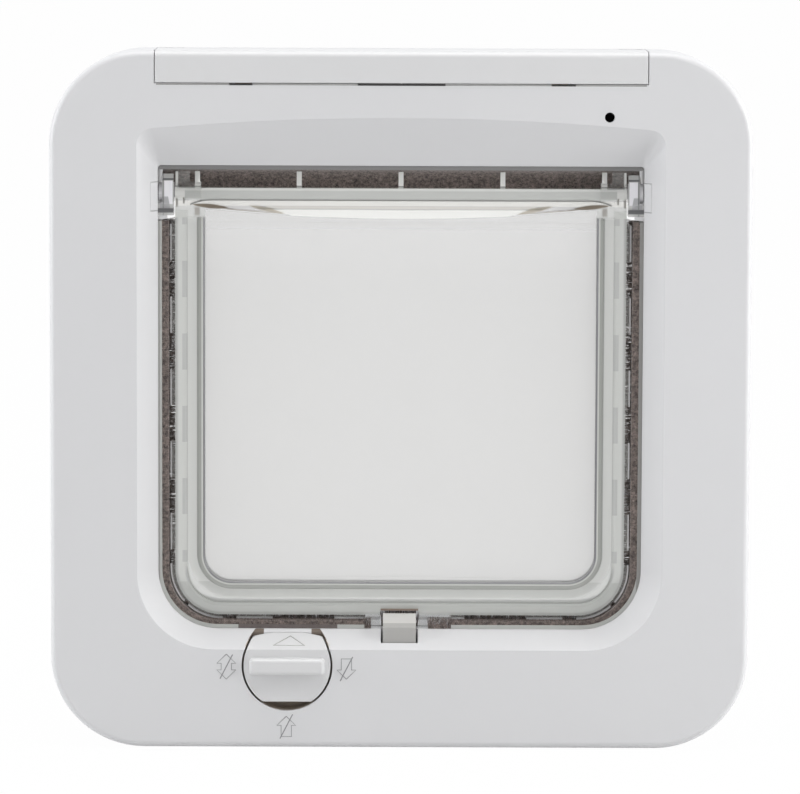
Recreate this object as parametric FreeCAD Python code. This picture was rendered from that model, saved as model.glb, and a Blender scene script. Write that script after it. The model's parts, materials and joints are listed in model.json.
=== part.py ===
import FreeCAD, Part
import math
import os

Vector = FreeCAD.Vector

# Cat flap with an indoor housing, a door tunnel, a clear swinging flap and an outdoor frame.
# Frame of the part: +X to the right seen from indoors, +Y outdoors, +Z up.
# The origin is the middle of the housing, on the face that lies against the door.

# Indoor housing
FRAME_WIDTH = 210.0
FRAME_HEIGHT = 210.0
FRAME_CORNER_R = 28.0
HOUSING_DEPTH = 24.0
HOUSING_WALL = 2.4
HOUSING_EDGE_R = 2.0
REAR_COVER_THICK = 2.0
COLLAR_REACH = 3.0
REAR_COLLAR_WALL = 2.0
COLLAR_TOP_DROP = 10.0
COLLAR_LOW_RISE = 12.0

# Opening and the sloped recess round it
SIDE_BORDER = 32.0
OPENING_LOW_R = 18.0
OPENING_TOP_R = 1.0
RECESS_REAR = 15.0
SLOPE_SIDE = 5.9
SLOPE_BOTTOM = 5.0
SLOPE_TOP = 11.5
RECESS_CROWN = 3.3
RECESS_LOW_R = 23.0
RECESS_TOP_R = 5.0
RECESS_WALL = 2.0
RECESS_TOP_WALL = 3.4
RIM_LENGTH = 0.5

# Tunnel through the door
TUNNEL_WALL = 2.0
DOOR_THICKNESS = 34.0
TUNNEL_LIP_GAP = 0.3
COIL_BELT_HEIGHT = 2.0
COIL_WIDTH = 8.0
COIL_THICK = 1.8
COIL_BELT_SHOULDER = 4.0
COIL_OFF_CENTRE = 3.0

# Flap
FLAP_THICK = 3.0
FLAP_SIDE_GAP = 5.1
FLAP_LOW_GAP = 4.1
FLAP_TOP_GAP = 6.9
FLAP_LOW_R = 14.0
FLAP_TOP_R = 1.5
FLAP_BEHIND_RIM = 4.0
PIVOT_DROP = 1.4
RIM_BAND = 3.6
RIM_RAISE = 0.8
BEAD_INSET = 6.7
BEAD_THICK = 2.3
BEAD_RAISE = 1.5
BEAD_RISE = 7.9
BEAD_DROP = 8.6
BEAD_LOW_R = 10.5
BEAD_ROUND = 0.35
WINDOW_SINK = 0.5
WINDOW_ARCH = 1.4
LENS_DROP = 6.4
LENS_SAG = 2.7
LENS_RAISE = 1.4
LENS_INSET = 2.7
TAB_REACH = 1.5
TAB_THICK = 1.4
TAB_LENGTH = 11.0
SIDE_TAB_DROP = 16.5
SIDE_TAB_RISE = 25.1
SIDE_TAB_COUNT = 5
BOTTOM_TAB_INNER = 14.2
BOTTOM_TAB_INSET = 23.9
CORNER_TAB_RISE = 15.3
CORNER_TAB_INSET = 14.2
CORNER_NICK = 0.9
RIB_COUNT = 5
RIB_THICK = 1.5
RIB_TIP_THICK = 1.2
RIB_HEIGHT = 4.9
KNUCKLE_R = 3.2
KNUCKLE_LENGTH = 7.9
KNUCKLE_WEB = 4.4
NOTCH_WIDTH = 11.6
NOTCH_HEIGHT = 1.3
KEEPER_WIDTH = 3.1
KEEPER_DROP = 3.7

# Hinge pins and their blocks
PIN_R = 1.5
PIN_COLLAR_R = 3.0
PIN_TAIL_R = 2.0
PIN_TAIL_LENGTH = 4.6
PIN_DEPTH_IN_FLAP = 7.4
HINGE_BLOCK_DROP = 5.3
HINGE_BLOCK_RISE = 3.3
HINGE_BLOCK_AHEAD = 7.0
HINGE_BLOCK_BEHIND = 3.5
HINGE_BLOCK_REACH = 5.6

# Brush seals
BACKING_THICK = 1.2
BACKING_ROUND = 0.54
BACKING_GLUE = 0.02
BRUSH_AHEAD = 3.2
BRUSH_BEHIND = 3.0
TOP_BRUSH_BEHIND = 10.0
TOP_PILE_SET_IN = 0.6
TOP_PILE_SET_SIDE = 1.0
TOP_PILE_RISE = 0.6
SIDE_PILE_SET_IN = 0.4
BRUSH_UNDER_HINGE = 3.2
BRUSH_OFF_SLOT = 1.2

# Electric catch
CATCH_WIDTH = 10.0
CATCH_SLOT_WIDTH = 11.1
CATCH_SET_BACK = 3.5
CATCH_RAMP_HEIGHT = 3.4
CATCH_RIDGE = 1.0
CATCH_BASE_BEHIND = 2.5
CATCH_LIFT = 4.0
CATCH_DROP = 11.9
CATCH_GAP = 0.7
PLUNGER_R = 2.5
PLUNGER_LENGTH = 17.0
SOLENOID_AHEAD = 2.5
COIL_CAN_R = 6.4
SOLENOID_PLATE = 1.2
SOLENOID_WIDTH = 16.0
SOLENOID_HEIGHT = 15.0
COIL_FLANGE = 1.0
COIL_WAIST = 0.7
SPRING_ROOM = 5.5
SPRING_R = 3.5
SPRING_WIRE_R = 0.3
SPRING_WIRE_SIDES = 6
SPRING_TURNS = 4

# Lock dial, pinion and slide
DIAL_X = -33.8
DIAL_DROP = 9.9
DIAL_R = 13.1
DIAL_GAP = 0.6
DIAL_WELL_WALL = 1.5
DIAL_WELL_DEPTH = 7.6
DIAL_FLOOR = 1.5
DIAL_CHORD = 10.9
DIAL_TOP = 9.2
DIAL_TOP_SAG = 1.3
GRIP_LENGTH = 22.7
GRIP_HEIGHT = 5.0
GRIP_REACH = 3.0
GRIP_ROUND = 1.2
DIAL_SHAFT_R = 3.0
SPINDLE_R = 1.5
SPINDLE_BORE_R = 0.8
SPINDLE_BORE_DEPTH = 5.0
PINION_SCREW_HEAD_R = 2.3
PINION_SCREW_HEAD = 1.4
PINION_SCREW_LENGTH = 4.0
RACK_PITCH = 2.0
PINION_TEETH = 10
TOOTH_ADDENDUM = 0.55
TOOTH_DEDENDUM = 0.78
TOOTH_TIP_WIDTH = 0.42
TOOTH_ROOT_WIDTH = 1.16
RACK_TOOTH_COUNT = 13
SLIDE_BEHIND = 0.5
SLIDE_DEPTH = 4.0
SLIDE_BAR_THICK = 2.0
SLIDE_TAIL = 14.0
RACK_END = 1.0
SLIDE_GAP = 0.3
STOP_WIDTH = 8.0
STOP_FRONT_GAP = 0.4
STOP_THICK = 1.5
PINION_HUB_R = 2.5
GUIDE_PLACES = (-11.5, 17.0)
GUIDE_WIDTH = 3.0
GUIDE_THICK = 1.2

# Battery cover, cells and contacts
COVER_HEIGHT = 9.8
COVER_GAP = 0.25
COVER_REAR = -4.0
COVER_REAR_GAP = 0.8
COVER_HINGE_Y = -2.2
COVER_HINGE_DROP = 1.3
COVER_BARREL_R = 1.1
COVER_PIN_R = 0.7
COVER_PIN_LENGTH = 1.8
COVER_LUG_LENGTH = 8.0
LAP_HEIGHT = 1.0
LAP_SKIN = 1.0
LAP_SLOTS = ((0.0, 26.2), (-48.0, 7.0), (48.0, 7.0))
BUTTON_ROOM = 17.8
CELL_R = 7.25
CELL_LENGTH = 49.5
CELL_NUB_R = 2.75
CELL_NUB_LENGTH = 1.0
CELL_BEVEL = 0.6
CELL_ROW_GAP = 0.1
CELL_BACK_GAP = 0.35
CELL_SEAT_GAP = 0.2
CELL_ROOF_GAP = 1.0
CONTACT_GAP = 3.5
CONTACT_THICK = 0.4
CONTACT_SIZE = 9.0
CONTACT_POSITIVE = (1.8, 1.5)
CONTACT_NEGATIVE = (4.2, 3.0)
BAY_RIB = 1.2

# Electronics
BOARD_OFF_BAY = 1.65
BOARD_OFF_SIDE = 5.0
BOARD_RISE = 4.7
BOARD_OFF_TOP = 3.5
BOARD_Y = -8.0
BOARD_THICK = 1.6
LAMP_OFF_BAY = 6.25
LAMP_DROP = 19.5
LAMP_R = 1.5
LAMP_FLANGE_R = 1.9
LAMP_STAND_OFF = 5.0
LAMP_SET_BACK = 1.0
LEG_R = 0.25
LEG_SPREAD = 0.9
BUTTON_OFF_BAY = 10.15
BUTTON_DROP = 7.5
BUTTON_R = 2.6
BUTTON_ROUND = 0.7
BUTTON_REACH = 4.0
BUTTON_TRAVEL = 1.0
SWITCH_SIZE = 6.0
SWITCH_HEIGHT = 3.4
DECK_HALF_HEIGHT = 5.0
CONTROLLER_SIZE = (8.0, 1.6, 8.0)
CONTROLLER_OFF = (12.0, 4.0)
DRIVER_SIZE = (5.0, 1.2, 5.0)
DRIVER_OFF = (3.0, 3.0)
COIL_CHIP_SIZE = (3.5, 3.0, 3.5)
COIL_CHIP_OFF = (18.0, 16.0)

# Outdoor frame and its screws
OUTER_SET_IN = 5.0
OUTER_CORNER_R = 26.0
OUTER_DEPTH = 12.0
OUTER_WALL = 2.4
OUTER_BEVEL = 3.0
COLLAR_WALL = 2.2
FIXING_OFF_OPENING = 6.6
FIXING_DROP = 53.0
FIXING_R = 2.0
FIXING_HEAD_R = 3.8
FIXING_HEAD_THICK = 2.4
FIXING_HEAD_BEVEL = 0.9
FIXING_SLOT = (4.4, 1.0, 1.2)
FIXING_GRIP_DEPTH = 14.0
FIXING_BOSS_R = 4.0
FRAME_BOSS_R = 5.6
CAP_THICK = 2.4
CAP_BEVEL = 0.5
HOUSING_SCREW_INSET = 14.0
HOUSING_SCREW_R = 1.5
HOUSING_SCREW_HEAD_R = 3.0
HOUSING_SCREW_HEAD = 1.2
HOUSING_SCREW_SLOT = (3.4, 0.8, 0.7)
PINION_SCREW_SLOT = (6.0, 0.6, 0.6)
HOUSING_SCREW_LENGTH = 12.0
HOUSING_BOSS_R = 3.6
PAD_THICK = 2.0
PAD_MARGIN = 1.0

# How far a cut runs past what it cuts, and how far a joined piece reaches into its carrier
OVERCUT = 1.0
ROOT = 0.5
FAR = 300.0

# Clearances
RUNNING_GAP = 0.05
SEAT_GAP = 0.1
FIT_GAP = 0.2
SIDE_GAP = 0.3
SLACK = 0.4

# Places that follow from the sizes above
HALF_WIDTH = FRAME_WIDTH / 2
HALF_HEIGHT = FRAME_HEIGHT / 2
WALL_INSIDE = HALF_HEIGHT - HOUSING_WALL
FACE_Y = -HOUSING_DEPTH
RECESS_Y = -RECESS_REAR
RECESS_DEPTH = HOUSING_DEPTH - RECESS_REAR
RIM_Y = RECESS_Y + RIM_LENGTH
CELL_SPACING = 2 * CELL_R + CELL_ROW_GAP
CELL_Y = -REAR_COVER_THICK - CELL_BACK_GAP - CELL_R
BAY_HEIGHT = TUNNEL_WALL + CELL_SEAT_GAP + 2 * CELL_R + CELL_SPACING + CELL_ROOF_GAP
SILL_HEIGHT = CATCH_DROP + SPRING_ROOM + SOLENOID_HEIGHT + SEAT_GAP
HALF_OPENING = HALF_WIDTH - SIDE_BORDER
OPENING_TOP = WALL_INSIDE - BAY_HEIGHT
OPENING_BOTTOM = -WALL_INSIDE + SILL_HEIGHT
FLAP_PLANE = RECESS_Y + FLAP_BEHIND_RIM
FLAP_FRONT = FLAP_PLANE - FLAP_THICK / 2
FLAP_BACK = FLAP_PLANE + FLAP_THICK / 2
HALF_FLAP = HALF_OPENING - FLAP_SIDE_GAP
FLAP_BOTTOM = OPENING_BOTTOM + FLAP_LOW_GAP
FLAP_TOP = OPENING_TOP - FLAP_TOP_GAP
PIVOT_HEIGHT = FLAP_TOP - PIVOT_DROP
BEAD_HALF_WIDTH = HALF_FLAP - BEAD_INSET
BEAD_BOTTOM = FLAP_BOTTOM + BEAD_RISE
BEAD_TOP = FLAP_TOP - BEAD_DROP
LENS_TOP = FLAP_TOP - LENS_DROP
LENS_HALF_WIDTH = BEAD_HALF_WIDTH - LENS_INSET
SIDE_TAB_TOP = FLAP_TOP - SIDE_TAB_DROP
SIDE_TAB_PITCH = (SIDE_TAB_TOP - FLAP_BOTTOM - SIDE_TAB_RISE) / (SIDE_TAB_COUNT - 1)
BOTTOM_TABS = (BOTTOM_TAB_INNER, HALF_FLAP - BOTTOM_TAB_INSET)
RIB_PITCH = 2 * BEAD_HALF_WIDTH / (RIB_COUNT - 1)
NOTCH_TOP = FLAP_BOTTOM + NOTCH_HEIGHT
HINGE_BLOCK_LOW = PIVOT_HEIGHT - HINGE_BLOCK_DROP
HINGE_BLOCK_HIGH = PIVOT_HEIGHT + HINGE_BLOCK_RISE
HINGE_BLOCK_FRONT = FLAP_PLANE - HINGE_BLOCK_AHEAD
HINGE_BLOCK_BACK = FLAP_PLANE + HINGE_BLOCK_BEHIND
CATCH_TOP = NOTCH_TOP - CATCH_GAP
CATCH_FRONT = FACE_Y + CATCH_SET_BACK
CATCH_BACK = FLAP_FRONT - RIM_RAISE - SLACK
CATCH_BASE_BACK = CATCH_BACK + CATCH_BASE_BEHIND
CATCH_BASE_LOW = OPENING_BOTTOM - CATCH_DROP
SOLENOID_AXIS_Y = FLAP_PLANE - SOLENOID_AHEAD
TUNNEL_END = DOOR_THICKNESS + OUTER_DEPTH - OUTER_WALL
TUNNEL_UNDERSIDE = OPENING_BOTTOM - TUNNEL_WALL
CATCH_SHOULDER = TUNNEL_UNDERSIDE - CATCH_LIFT - SIDE_GAP
COIL_MIDDLE = DOOR_THICKNESS / 2 + COIL_OFF_CENTRE
OUTER_FACE_Y = DOOR_THICKNESS + OUTER_DEPTH
FIXING_SEAT = OUTER_FACE_Y - CAP_THICK - FIXING_HEAD_THICK - SEAT_GAP
DIAL_Z = OPENING_BOTTOM - DIAL_DROP
DIAL_HOLE_R = DIAL_R + DIAL_GAP
PITCH_R = PINION_TEETH * RACK_PITCH / (2 * math.pi)
RACK_LINE = DIAL_Z + PITCH_R
QUARTER_TRAVEL = PINION_TEETH * RACK_PITCH / 4
SLIDE_FRONT = FLAP_PLANE + SLIDE_BEHIND
SLIDE_BACK = SLIDE_FRONT + SLIDE_DEPTH
STOP_FRONT = FLAP_BACK + STOP_FRONT_GAP
STOP_SLOT_LEFT = -STOP_WIDTH / 2 - QUARTER_TRAVEL - SLACK
STOP_SLOT_RIGHT = STOP_WIDTH / 2 + 2 * QUARTER_TRAVEL + SLACK
BRUSH_FRONT = FLAP_PLANE - BRUSH_AHEAD
BRUSH_BACK = FLAP_PLANE + BRUSH_BEHIND
TOP_BRUSH_BACK = FLAP_PLANE + TOP_BRUSH_BEHIND
SIDE_BRUSH_TOP = HINGE_BLOCK_LOW - BRUSH_UNDER_HINGE
CELL_ROW_END = CELL_LENGTH + 1.25 * CELL_NUB_LENGTH
CONTACT_X = CELL_ROW_END + CONTACT_GAP
BAY_END = CONTACT_X + CONTACT_THICK + BAY_RIB
COVER_HALF_WIDTH = BAY_END + BUTTON_ROOM
COVER_BOTTOM = HALF_HEIGHT - COVER_HEIGHT
COVER_HINGE_Z = HALF_HEIGHT - COVER_HINGE_DROP
BOARD_LEFT = BAY_END + BOARD_OFF_BAY
BOARD_RIGHT = HALF_WIDTH - BOARD_OFF_SIDE
BOARD_LOW = OPENING_TOP + BOARD_RISE
BOARD_HIGH = HALF_HEIGHT - BOARD_OFF_TOP
LAMP_X = BAY_END + LAMP_OFF_BAY
LAMP_Z = HALF_HEIGHT - LAMP_DROP
BUTTON_X = BAY_END + BUTTON_OFF_BAY
BUTTON_Z = HALF_HEIGHT - BUTTON_DROP
FIXING_X = HALF_OPENING + FIXING_OFF_OPENING
FIXING_Z = HALF_HEIGHT - FIXING_DROP
HOUSING_SCREW_X = HALF_WIDTH - HOUSING_SCREW_INSET
HOUSING_SCREW_Z = HALF_HEIGHT - HOUSING_SCREW_INSET


def outline(half_width, bottom, top, low_r, top_r, crown=0.0):
    """Closed outline in the XZ plane with round corners and a top that may be arched."""
    w = half_width
    k = math.sqrt(0.5)

    def at(x, z):
        return Vector(x, 0, z)

    def corner(cx, cz, r, sx, sz, start, end):
        middle = at(cx + sx * r * k, cz + sz * r * k)
        return Part.Arc(start, middle, end).toShape()

    low_right = at(w - low_r, bottom), at(w, bottom + low_r)
    top_right = at(w, top - top_r), at(w - top_r, top)
    top_left = at(-w + top_r, top), at(-w, top - top_r)
    low_left = at(-w, bottom + low_r), at(-w + low_r, bottom)
    if crown:
        roof = Part.Arc(top_right[1], at(0, top + crown), top_left[0]).toShape()
    else:
        roof = Part.makeLine(top_right[1], top_left[0])
    edges = [
        Part.makeLine(low_left[1], low_right[0]),
        corner(w - low_r, bottom + low_r, low_r, 1, -1, *low_right),
        Part.makeLine(low_right[1], top_right[0]),
        corner(w - top_r, top - top_r, top_r, 1, 1, *top_right),
        roof,
        corner(-w + top_r, top - top_r, top_r, -1, 1, *top_left),
        Part.makeLine(top_left[1], low_left[0]),
        corner(-w + low_r, bottom + low_r, low_r, -1, -1, *low_left),
    ]
    return Part.Wire(edges)


def prism(wire, y0, y1):
    """Solid between two planes across Y, from a closed outline in the XZ plane."""
    face = Part.Face(wire)
    face.translate(Vector(0, y0, 0))
    return face.extrude(Vector(0, y1 - y0, 0))


def block(x0, x1, y0, y1, z0, z1):
    """Box between two corners."""
    return Part.makeBox(x1 - x0, y1 - y0, z1 - z0, Vector(x0, y0, z0))


def rod_x(r, x0, x1, y, z):
    """Round rod along X."""
    return Part.makeCylinder(r, x1 - x0, Vector(x0, y, z), Vector(1, 0, 0))


def rod_y(r, y0, y1, x, z):
    """Round rod along Y."""
    return Part.makeCylinder(r, y1 - y0, Vector(x, y0, z), Vector(0, 1, 0))


def rod_z(r, z0, z1, x, y):
    """Round rod along Z."""
    return Part.makeCylinder(r, z1 - z0, Vector(x, y, z0), Vector(0, 0, 1))


def profile_x(points, x0, x1):
    """Solid of one section in the YZ plane, drawn along X."""
    corners = [Vector(x0, y, z) for y, z in points]
    face = Part.Face(Part.makePolygon(corners + corners[:1]))
    return face.extrude(Vector(x1 - x0, 0, 0))


def join(first, *others):
    """One solid from shapes that meet."""
    return first.fuse(list(others)).removeSplitter()


def mirrored(shape):
    """The same piece on the other side."""
    return shape.mirror(Vector(0, 0, 0), Vector(1, 0, 0))


def frame_outline(grow=0.0, half=HALF_WIDTH, half_height=HALF_HEIGHT, r=FRAME_CORNER_R):
    """Outline of the indoor housing, or one set in from it."""
    return outline(half + grow, -half_height - grow, half_height + grow, r + grow, r + grow)


def opening_outline(grow=0.0):
    """Outline of the opening, or one set off from it."""
    top_r = max(OPENING_TOP_R + grow, 0.3)
    return outline(
        HALF_OPENING + grow, OPENING_BOTTOM - grow, OPENING_TOP + grow, OPENING_LOW_R + grow, top_r
    )


def flap_outline(grow=0.0):
    """Outline of the flap, or one set off from it."""
    top_r = max(FLAP_TOP_R + grow, 0.3)
    return outline(HALF_FLAP + grow, FLAP_BOTTOM - grow, FLAP_TOP + grow, FLAP_LOW_R + grow, top_r)


def recess_outline(y, grow=0.0, grow_top=0.0):
    """Outline of the sloped recess at one depth."""
    out = (RECESS_Y - y) / RECESS_DEPTH
    wire = outline(
        HALF_OPENING + SLOPE_SIDE * out + grow,
        OPENING_BOTTOM - SLOPE_BOTTOM * out - grow,
        OPENING_TOP + SLOPE_TOP * out + grow_top,
        OPENING_LOW_R + (RECESS_LOW_R - OPENING_LOW_R) * out + grow,
        OPENING_TOP_R + (RECESS_TOP_R - OPENING_TOP_R) * out + grow,
        max(RECESS_CROWN * out, 0.001),
    )
    wire.translate(Vector(0, y, 0))
    return wire


def recess_space(grow=0.0, grow_top=0.0):
    """The room in front of the slopes, or the same room set off by the thickness of their walls."""
    front = FACE_Y + OVERCUT if grow else FACE_Y - OVERCUT
    return Part.makeLoft(
        [recess_outline(front, grow, grow_top), recess_outline(RECESS_Y, grow, grow_top)], True, True
    )


def outer_form():
    """The indoor housing's outer form, with its front edge rounded."""
    body = prism(frame_outline(), FACE_Y, 0)
    front_edges = [e for e in body.Edges if abs(e.CenterOfMass.y - FACE_Y) < 1e-6]
    return body.makeFillet(HOUSING_EDGE_R, front_edges)


def cover_room(gap, rear):
    """The room of the battery cover, less a gap at its sides and bottom."""
    return block(
        -COVER_HALF_WIDTH + gap, COVER_HALF_WIDTH - gap, FACE_Y - OVERCUT, rear,
        COVER_BOTTOM + gap, HALF_HEIGHT + OVERCUT,
    )


def cover_lug_notch(side, gap):
    """Notch in the housing's rear top strip for one lug of the battery cover."""
    x0, x1 = sorted((side * COVER_HALF_WIDTH, side * (COVER_HALF_WIDTH - COVER_LUG_LENGTH)))
    r = COVER_BARREL_R + gap
    return block(
        x0, x1, COVER_REAR - OVERCUT, COVER_HINGE_Y + r, COVER_HINGE_Z - r, HALF_HEIGHT + OVERCUT
    )


def fixing_places():
    """Where the four long screws go."""
    return [(sx * FIXING_X, sz * FIXING_Z) for sx in (-1, 1) for sz in (-1, 1)]


def housing_screw_places():
    """Where the screws of the rear cover go."""
    return [(sx * HOUSING_SCREW_X, sz * HOUSING_SCREW_Z) for sx in (-1, 1) for sz in (-1, 1)]


def hinge_room(side, gap):
    """The room of one hinge block in the side wall."""
    x0, x1 = sorted((side * (HALF_OPENING - OVERCUT), side * (HALF_OPENING + HINGE_BLOCK_REACH + gap)))
    return block(
        x0, x1, HINGE_BLOCK_FRONT - gap, HINGE_BLOCK_BACK + gap,
        HINGE_BLOCK_LOW - gap, HINGE_BLOCK_HIGH + gap,
    )


def front_housing():
    """White front moulding: fascia, side walls, sloped recess, dial well and inner ribs."""
    plate_back = FACE_Y + HOUSING_WALL
    rib_front = plate_back - ROOT
    shell = outer_form().cut(prism(frame_outline(-HOUSING_WALL), plate_back, OVERCUT))
    slopes = recess_space(RECESS_WALL, RECESS_TOP_WALL)
    rim = prism(opening_outline(RECESS_WALL), RECESS_Y, RIM_Y)
    well_floor = FACE_Y + DIAL_WELL_DEPTH
    well_back = well_floor + DIAL_FLOOR
    well = rod_y(DIAL_HOLE_R + DIAL_WELL_WALL, FACE_Y + ROOT, well_back, DIAL_X, DIAL_Z)
    extras = [slopes, rim, well]
    for x, z in fixing_places():
        extras.append(rod_y(FIXING_BOSS_R, rib_front, -REAR_COVER_THICK, x, z))
    for x, z in housing_screw_places():
        extras.append(rod_y(HOUSING_BOSS_R, rib_front, -REAR_COVER_THICK - PAD_THICK, x, z))
    bay_low = OPENING_TOP + TUNNEL_WALL + SEAT_GAP
    rib_back = -REAR_COVER_THICK - FIT_GAP
    for side in (-1, 1):
        rib_x = sorted((side * (BAY_END - BAY_RIB), side * BAY_END))
        extras.append(block(*rib_x, rib_front, rib_back, bay_low, BOARD_HIGH))
        cheek_x = sorted((side * COVER_HALF_WIDTH, side * (COVER_HALF_WIDTH + BAY_RIB)))
        extras.append(block(*cheek_x, rib_front, BOARD_Y - SLACK, bay_low, WALL_INSIDE + ROOT))
        guide_in = SOLENOID_WIDTH / 2 + SIDE_GAP
        guide_x = sorted((side * guide_in, side * (guide_in + BAY_RIB)))
        extras.append(
            block(*guide_x, rib_front, rib_back, -WALL_INSIDE - ROOT, CATCH_BASE_LOW - SLACK)
        )
    deck_y = BOARD_Y - SWITCH_HEIGHT - BUTTON_REACH + BUTTON_TRAVEL
    extras.append(
        block(
            BAY_END - SEAT_GAP, COVER_HALF_WIDTH + SEAT_GAP, deck_y - BAY_RIB, deck_y,
            BUTTON_Z - DECK_HALF_HEIGHT, BUTTON_Z + DECK_HALF_HEIGHT,
        )
    )
    housing = join(shell, *extras)
    housing = housing.cut(recess_space())
    housing = housing.cut(prism(opening_outline(), RECESS_Y - OVERCUT, RIM_Y + OVERCUT))
    housing = housing.cut(rod_y(DIAL_HOLE_R, FACE_Y - OVERCUT, well_floor, DIAL_X, DIAL_Z))
    shaft_r = DIAL_SHAFT_R + RUNNING_GAP
    button_hole = BUTTON_R + FIT_GAP
    cover_rest = block(-HALF_WIDTH, HALF_WIDTH, COVER_REAR, OVERCUT, 0, WALL_INSIDE - OVERCUT)
    ledge_front, ledge_top = FACE_Y + LAP_SKIN + SEAT_GAP, COVER_BOTTOM + LAP_HEIGHT
    ledge = block(-HALF_WIDTH, HALF_WIDTH, ledge_front, plate_back, 0, ledge_top)
    holes = [
        rod_y(shaft_r, well_floor - OVERCUT, well_back + OVERCUT, DIAL_X, DIAL_Z),
        rod_y(LAMP_R, FACE_Y - OVERCUT, plate_back + OVERCUT, LAMP_X, LAMP_Z),
        rod_y(button_hole, deck_y - BAY_RIB - OVERCUT, deck_y + OVERCUT, BUTTON_X, BUTTON_Z),
        cover_room(0, COVER_REAR + COVER_REAR_GAP).cut([cover_rest, ledge]),
        block(
            -CATCH_SLOT_WIDTH / 2, CATCH_SLOT_WIDTH / 2, CATCH_FRONT - SLACK, RIM_Y + OVERCUT,
            CATCH_BASE_LOW, OPENING_BOTTOM + OVERCUT,
        ),
    ]
    for x, width in LAP_SLOTS:
        slot_x = x - width / 2, x + width / 2
        holes.append(block(*slot_x, ledge_front, plate_back, COVER_BOTTOM, ledge_top + OVERCUT))
    for side in (-1, 1):
        holes.append(cover_lug_notch(side, FIT_GAP))
        holes.append(hinge_room(side, FIT_GAP / 2))
        pin_end = COVER_HALF_WIDTH + COVER_PIN_LENGTH
        pin_x = sorted((side * (COVER_HALF_WIDTH - OVERCUT), side * pin_end))
        holes.append(rod_x(COVER_PIN_R + RUNNING_GAP, *pin_x, COVER_HINGE_Y, COVER_HINGE_Z))
    for x, z in fixing_places():
        holes.append(rod_y(FIXING_R + RUNNING_GAP, -FIXING_GRIP_DEPTH - OVERCUT, OVERCUT, x, z))
    for x, z in housing_screw_places():
        bore_end = -HOUSING_SCREW_LENGTH - OVERCUT
        holes.append(rod_y(HOUSING_SCREW_R + RUNNING_GAP, bore_end, OVERCUT, x, z))
    return housing.cut(holes)


def rear_cover():
    """Flat back of the indoor housing, with the tunnel's hole, screw pads and slide guides."""
    plate = prism(frame_outline(-HOUSING_WALL - FIT_GAP), -REAR_COVER_THICK, 0)
    inside_plate = -REAR_COVER_THICK / 2
    collar = prism(
        opening_outline(TUNNEL_WALL + FIT_GAP + REAR_COLLAR_WALL),
        -REAR_COVER_THICK - COLLAR_REACH, inside_plate,
    )
    high = OPENING_TOP - COLLAR_TOP_DROP
    low = TUNNEL_UNDERSIDE + COLLAR_LOW_RISE
    collar = collar.common(block(-FRAME_WIDTH, FRAME_WIDTH, -FAR, FAR, low, high))
    for x, z in fixing_places():
        collar = collar.cut(rod_y(FIXING_BOSS_R + FIT_GAP, FACE_Y, -REAR_COVER_THICK, x, z))
    extras = [collar]
    for x, z in housing_screw_places():
        pad_front = -REAR_COVER_THICK - PAD_THICK
        extras.append(rod_y(HOUSING_BOSS_R + PAD_MARGIN, pad_front, inside_plate, x, z))
    ledge_top = TUNNEL_UNDERSIDE - SLIDE_GAP - SLIDE_BAR_THICK - SLIDE_GAP
    for x in GUIDE_PLACES:
        ledge_low = ledge_top - GUIDE_THICK
        extras.append(block(x, x + GUIDE_WIDTH, SLIDE_FRONT, inside_plate, ledge_low, ledge_top))
    cover = join(plate, *extras)
    cuts = [prism(opening_outline(TUNNEL_WALL + FIT_GAP / 2), -FAR, FAR)]
    for x, z in fixing_places():
        cuts.append(rod_y(FIXING_R + FIT_GAP, -FAR, FAR, x, z))
    for x, z in housing_screw_places():
        cuts.append(rod_y(HOUSING_SCREW_R + FIT_GAP, -FAR, FAR, x, z))
        head_seat = -HOUSING_SCREW_HEAD - SEAT_GAP
        cuts.append(rod_y(HOUSING_SCREW_HEAD_R + FIT_GAP, head_seat, OVERCUT, x, z))
    return cover.cut(cuts)


def tunnel():
    """White liner through the door, with a raised belt that holds the aerial's winding."""
    belt_half = COIL_WIDTH / 2 + COIL_BELT_SHOULDER
    tube = prism(opening_outline(TUNNEL_WALL), RIM_Y, TUNNEL_END)
    belt = prism(
        opening_outline(TUNNEL_WALL + COIL_BELT_HEIGHT), COIL_MIDDLE - belt_half, COIL_MIDDLE + belt_half
    )
    groove_half = COIL_WIDTH / 2
    groove = prism(
        opening_outline(TUNNEL_WALL + COIL_BELT_HEIGHT + OVERCUT),
        COIL_MIDDLE - groove_half, COIL_MIDDLE + groove_half,
    ).cut(prism(opening_outline(TUNNEL_WALL), -FAR, FAR))
    body = join(tube, belt).cut(groove)
    floor_cut = TUNNEL_UNDERSIDE - OVERCUT, OPENING_BOTTOM + OVERCUT
    cuts = [
        prism(opening_outline(), RIM_Y - OVERCUT, TUNNEL_END + OVERCUT),
        block(
            -CATCH_SLOT_WIDTH / 2, CATCH_SLOT_WIDTH / 2, RIM_Y - OVERCUT, CATCH_BACK + SLACK,
            *floor_cut,
        ),
        block(
            STOP_SLOT_LEFT, STOP_SLOT_RIGHT,
            STOP_FRONT - SIDE_GAP, STOP_FRONT + STOP_THICK + SIDE_GAP, *floor_cut,
        ),
        hinge_room(-1, FIT_GAP / 2),
        hinge_room(1, FIT_GAP / 2),
    ]
    return body.cut(cuts)


def aerial_coil():
    """Flat winding of the chip reader's aerial, in the belt's groove."""
    ring = prism(
        opening_outline(TUNNEL_WALL + COIL_THICK),
        COIL_MIDDLE - COIL_WIDTH / 2, COIL_MIDDLE + COIL_WIDTH / 2,
    )
    return ring.cut(prism(opening_outline(TUNNEL_WALL), -FAR, FAR))


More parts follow.
